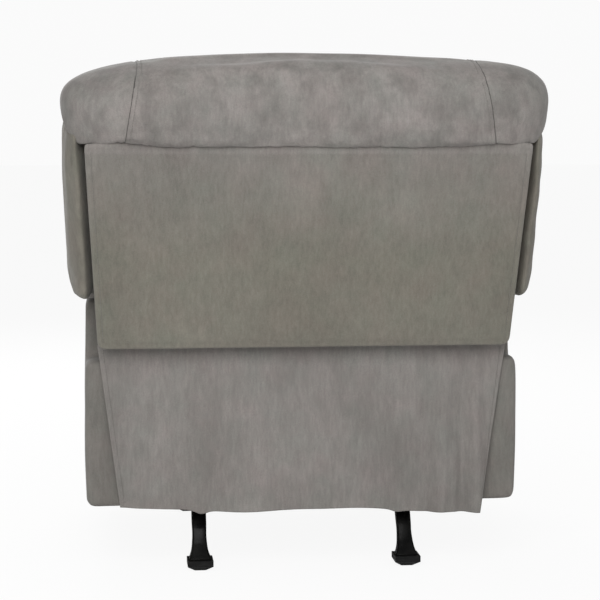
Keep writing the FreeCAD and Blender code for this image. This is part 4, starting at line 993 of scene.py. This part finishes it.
def make_upper_back():
    """The upper cushion of the back, in three fields between two sewn grooves."""
    half = (0.401, 0.0755, 0.139)
    middle_out = -0.0165
    middle_up = 0.371
    held_behind = 0.057
    held_above = 0.5085
    cell = 0.0095
    groove_across = 0.150
    stitch_gap = 0.010
    points, faces = rounded_box(half, cell, (0.040, 0.060, 0.050), (0.040, 0.010, 0.020))
    out = points[:, 1] + middle_out
    up = points[:, 2] + middle_up
    piece = make("upper_back_cover", on_back(points[:, 0], out, up), faces)
    inflate(piece, (out > held_behind) | (up > held_above), pressure=4.0, cap=0.020, slack=0.01)
    subdivided(piece)
    points = points_of(piece)
    across, out, up = in_back(points)
    off = np.abs(across) - groove_across
    groove = 0.0065 * ridge(off, 0.006)
    pucker = 0.0014 * ridge(off, 0.022) * grain_by(53, across * 18, up * 55, 0)
    dent(piece, 0.0035 * grain(points, 6.0, 51) + 0.0012 * grain(points, 30.0, 52)
         - ramp(-out, 0.02, 0.06) * (groove - pucker))
    dressed(piece, "back", ["upper_back_cushion"], CLOTH)
    ups = np.linspace(0.262, 0.486, 60)
    places = [side * groove_across + shift for side in SIDES for shift in (-stitch_gap, stitch_gap)]
    sewn(piece, "upper_back_stitch", "back", [on_back(place, -0.05, ups) for place in places], OUT)


def make_deck():
    """The foam deck under the seat cushion."""
    low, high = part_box("seat_deck")
    piece = cushion("seat_deck_slab", low, high, (0.004, 0.004, 0.003), (0.004, 0.004, 0.005), cell=0.012)
    dent(piece, -0.0008 + 0.0008 * grain(points_of(piece), 25.0, 81))
    dressed(piece, "chassis", ["seat_deck"], FINISHES["foam"])


def make_webbing():
    """Straps as thin woven bands over the back's frame, one for each solid."""
    cell = 0.010
    edge = (0.0009, 0.0009, 0.0009)
    whole = bmesh.new()
    whole.from_mesh(frame["nodes"]["back_webbing"].data)
    bmesh.ops.remove_doubles(whole, verts=whole.verts, dist=1e-5)
    left = set(whole.verts)
    points = []
    faces = []
    for first in whole.verts:
        if first not in left:
            continue
        left.remove(first)
        stack = [first]
        island = [first]
        while stack:
            for link in stack.pop().link_edges:
                for vert in link.verts:
                    if vert in left:
                        left.remove(vert)
                        stack.append(vert)
                        island.append(vert)
        spans = in_back(np.array([vert.co for vert in island]))
        half = [(span.max() - span.min()) / 2 for span in spans]
        middle = [(span.max() + span.min()) / 2 for span in spans]
        strap, strap_faces = rounded_box(half, cell, edge, edge)
        base = len(points)
        points += list(on_back(*(strap + middle).T))
        faces += [tuple(base + i for i in f) for f in strap_faces]
    whole.free()
    piece = make("back_webbing_straps", points, faces)
    dressed(piece, "back", ["back_webbing"], FINISHES["webbing"])


# Arms

ARM_VOXEL = 0.008
ARM_STITCH_TOP = 0.526
ARM_FRONT_STITCH = 0.022
ARM_SIDE_STITCHES = (0.024, 0.036)
ARM_SIDE = 0.44


def remeshed(name, source, voxel):
    """A new piece with the form of a solid, in even cells."""
    piece = bpy.data.objects.new(name, frame["nodes"][source].data.copy())
    scene.collection.objects.link(piece)
    change = piece.modifiers.new("Even", "REMESH")
    change.mode = "VOXEL"
    change.voxel_size = voxel
    ease = piece.modifiers.new("Ease", "SMOOTH")
    ease.factor = 0.5
    ease.iterations = 6
    baked(piece)
    piece.data.polygons.foreach_set("use_smooth", [True] * len(piece.data.polygons))
    return piece


def make_arm(side, label):
    """An arm's cover, with sewn grooves round its front and beside it."""
    piece = remeshed("arm_cover_skin_" + label, "arm_cover_" + label, ARM_VOXEL)
    subdivided(piece)
    points = points_of(piece)
    slow = 0.0016 * grain(points, 7.0, 61 + side)
    fold = 0.0006 * grain(points * np.array([1.0, 1.0, 0.4]), 30.0, 64 + side)
    dent(piece, slow + fold)
    low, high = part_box("arm_cover_" + label)
    outer = np.abs(points[:, 0]) - max(abs(low[0]), abs(high[0]))
    facing = ramp(-points[:, 1], -low[1] - 0.02, -low[1] - 0.004)
    inset = np.minimum(np.minimum(points[:, 0] - low[0], high[0] - points[:, 0]), points[:, 2] - low[2])
    front_groove = -0.0022 * facing * ridge(inset - 0.016, 0.0035)
    side_groove = -0.0022 * ramp(outer, -0.02, -0.004) * ridge(points[:, 1] - low[1] - 0.030, 0.0035)
    dent(piece, front_groove + side_groove)
    dressed(piece, "chassis", ["arm_cover_" + label], CLOTH_ARM_SHADED)
    tall = np.linspace(low[2] + 0.024, ARM_STITCH_TOP, 80)
    wide = np.linspace(low[0] + 0.024, high[0] - 0.024, 40)
    rows = [line(x, low[1], tall) for x in (low[0] + ARM_FRONT_STITCH, high[0] - ARM_FRONT_STITCH)]
    rows.append(line(wide, low[1], low[2] + ARM_FRONT_STITCH))
    sewn(piece, "arm_front_stitch_" + label, "chassis", rows, BACKWARD)
    rows = [line(side * ARM_SIDE, low[1] + gap, tall) for gap in ARM_SIDE_STITCHES]
    sewn(piece, "arm_side_stitch_" + label, "chassis", rows, (-side, 0, 0))


def make_arm_pad(side, label):
    """The pad on an arm. It starts smaller than its solid, and the fill makes up the rest."""
    held_below = 0.5475
    low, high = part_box("arm_pad_" + label)
    start = np.array(low) + (0.002, 0.002, 0.0005)
    end = np.array(high) - (0.002, 0.002, 0.008)
    piece = cushion("arm_pad_cover_" + label, start, end, (0.024, 0.024, 0.012), (0.024, 0.024, 0.026))
    inflate(piece, points_of(piece)[:, 2] < held_below, pressure=4.0, cap=0.012, slack=0.01)
    subdivided(piece)
    points = points_of(piece)
    dent(piece, 0.0022 * grain(points, 8.0, 71 + side) + 0.0010 * grain(points, 34.0, 74 + side))
    dressed(piece, "chassis", ["arm_pad_" + label], CLOTH)


# Base legs: pressed steel straps that flare to the foot

LEG_AROUND = 28
LEG_DEPTH = 0.0129
LEG_HALF = 0.0149
LEG_CORNER = 0.0045
LEG_TURN = 0.06


def make_leg(end, side_label):
    """A strap leg. It leans out towards the foot and flares in a curve above the glide."""
    node_name = ("rear" if end > 0 else "front") + "_leg_" + side_label
    low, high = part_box(node_name)
    middle = (low[0] + high[0]) / 2
    heights = np.concatenate([np.linspace(low[2], 0.060, 22), np.linspace(0.064, high[2], 14)])
    waist = 0.0008 * ridge(heights - 0.066, 0.014)
    flare = 0.0080 * np.exp(-((heights - low[2]) / 0.0125) ** 1.25)
    halves = LEG_HALF - waist + flare
    reach = np.interp(heights, (low[2], 0.050, 0.063, 0.076, high[2]), (0.300, 0.2795, 0.2715, 0.2646, 0.240))
    turns = np.linspace(0, math.tau, LEG_AROUND, endpoint=False) + LEG_TURN
    points = []
    for z, half, at in zip(heights, halves, reach):
        x = np.sign(np.cos(turns)) * (half - LEG_CORNER) + LEG_CORNER * np.cos(turns)
        y = np.sign(np.sin(turns)) * (LEG_DEPTH - LEG_CORNER) + LEG_CORNER * np.sin(turns)
        points += list(line(middle + x, end * at + y, z))
    piece = make("leg_strap_" + node_name, points, closed_tube(len(heights), LEG_AROUND))
    dressed(piece, "base", [node_name], FINISHES["black_steel"])


make_roll()
make_panel()
for sign, word in ((1, "left"), (-1, "right")):
    make_border(sign, word)
    make_wing(sign, word)
    make_arm(sign, word)
    make_arm_pad(sign, word)
    make_leg(1, word)
    make_leg(-1, word)
make_flap()
make_seat()
make_footrest_pad()
make_lumbar()
make_upper_back()
make_deck()
make_webbing()

# Stage: pale floor, soft lights, and the photograph's camera

TARGET = Vector((-0.0240, 0.0, 0.5218))
DISTANCE = 4.0
YAW = math.radians(6.0)
PITCH = math.radians(5.0)
FOCAL_PIXELS = 1828.5
PHOTO_WIDTH = 600
SENSOR_WIDTH = 36
FLOOR_REACH = 60
FLOOR_GLOW = 0.92
SKY_LIGHT = 0.36
SKY_SEEN = 0.96

lens = bpy.data.cameras.new("photo_camera")
lens.sensor_width = SENSOR_WIDTH
lens.lens = SENSOR_WIDTH * FOCAL_PIXELS / PHOTO_WIDTH
camera = bpy.data.objects.new("photo_camera", lens)
scene.collection.objects.link(camera)
away = Vector((math.sin(YAW) * math.cos(PITCH), math.cos(YAW) * math.cos(PITCH), math.sin(PITCH)))
camera.location = TARGET + away * DISTANCE
camera.rotation_mode = "QUATERNION"
camera.rotation_quaternion = (-away).to_track_quat("-Z", "Y")
scene.camera = camera

corners = [(x * FLOOR_REACH, y * FLOOR_REACH, 0) for x, y in ((-1, -1), (1, -1), (1, 1), (-1, 1))]
floor = make("floor", corners, [(0, 1, 2, 3)])
pale, pale_shader = material("pale_floor", grey(0.86), 0.9)
seen = node(pale, "ShaderNodeLightPath").outputs["Is Camera Ray"]
glow = node(pale, "ShaderNodeEmission", Color=(1, 1, 1, 1), Strength=1.0)
share = node(pale, "ShaderNodeMath", operation="MULTIPLY")
share.inputs[1].default_value = FLOOR_GLOW
mix = node(pale, "ShaderNodeMixShader")
wire(pale, seen, share.inputs[0])
wire(pale, share.outputs["Value"], mix.inputs[0])
wire(pale, pale_shader.outputs["BSDF"], mix.inputs[1])
wire(pale, glow.outputs["Emission"], mix.inputs[2])
wire(pale, mix.outputs["Shader"], pale.node_tree.nodes["Material Output"].inputs["Surface"])
floor.data.materials.append(pale)

world = bpy.data.worlds.new("studio")
scene.world = world
world.use_nodes = True
sky = world.node_tree.nodes["Background"]
sky.inputs["Color"].default_value = (1, 1, 1, 1)
level = node(world, "ShaderNodeMapRange", To_Min=SKY_LIGHT, To_Max=SKY_SEEN)
wire(world, node(world, "ShaderNodeLightPath").outputs["Is Camera Ray"], level.inputs["Value"])
wire(world, level.outputs["Result"], sky.inputs["Strength"])


def softbox(name, place, aim, size, power):
    """A square area light aimed at a point."""
    light = bpy.data.lights.new(name, "AREA")
    light.size = size
    light.energy = power
    lamp = bpy.data.objects.new(name, light)
    scene.collection.objects.link(lamp)
    lamp.location = place
    lamp.rotation_mode = "QUATERNION"
    lamp.rotation_quaternion = (Vector(place) - Vector(aim)).to_track_quat("Z", "Y")


softbox("key_light", (0.9, 3.4, 2.5), (0, 0.2, 0.6), size=2.4, power=98)
softbox("fill_light", (-2.4, 2.8, 1.5), (0, 0.2, 0.5), size=2.2, power=12)
softbox("front_light", (0.5, -3.2, 2.8), (0, 0, 0.5), size=2.4, power=95)
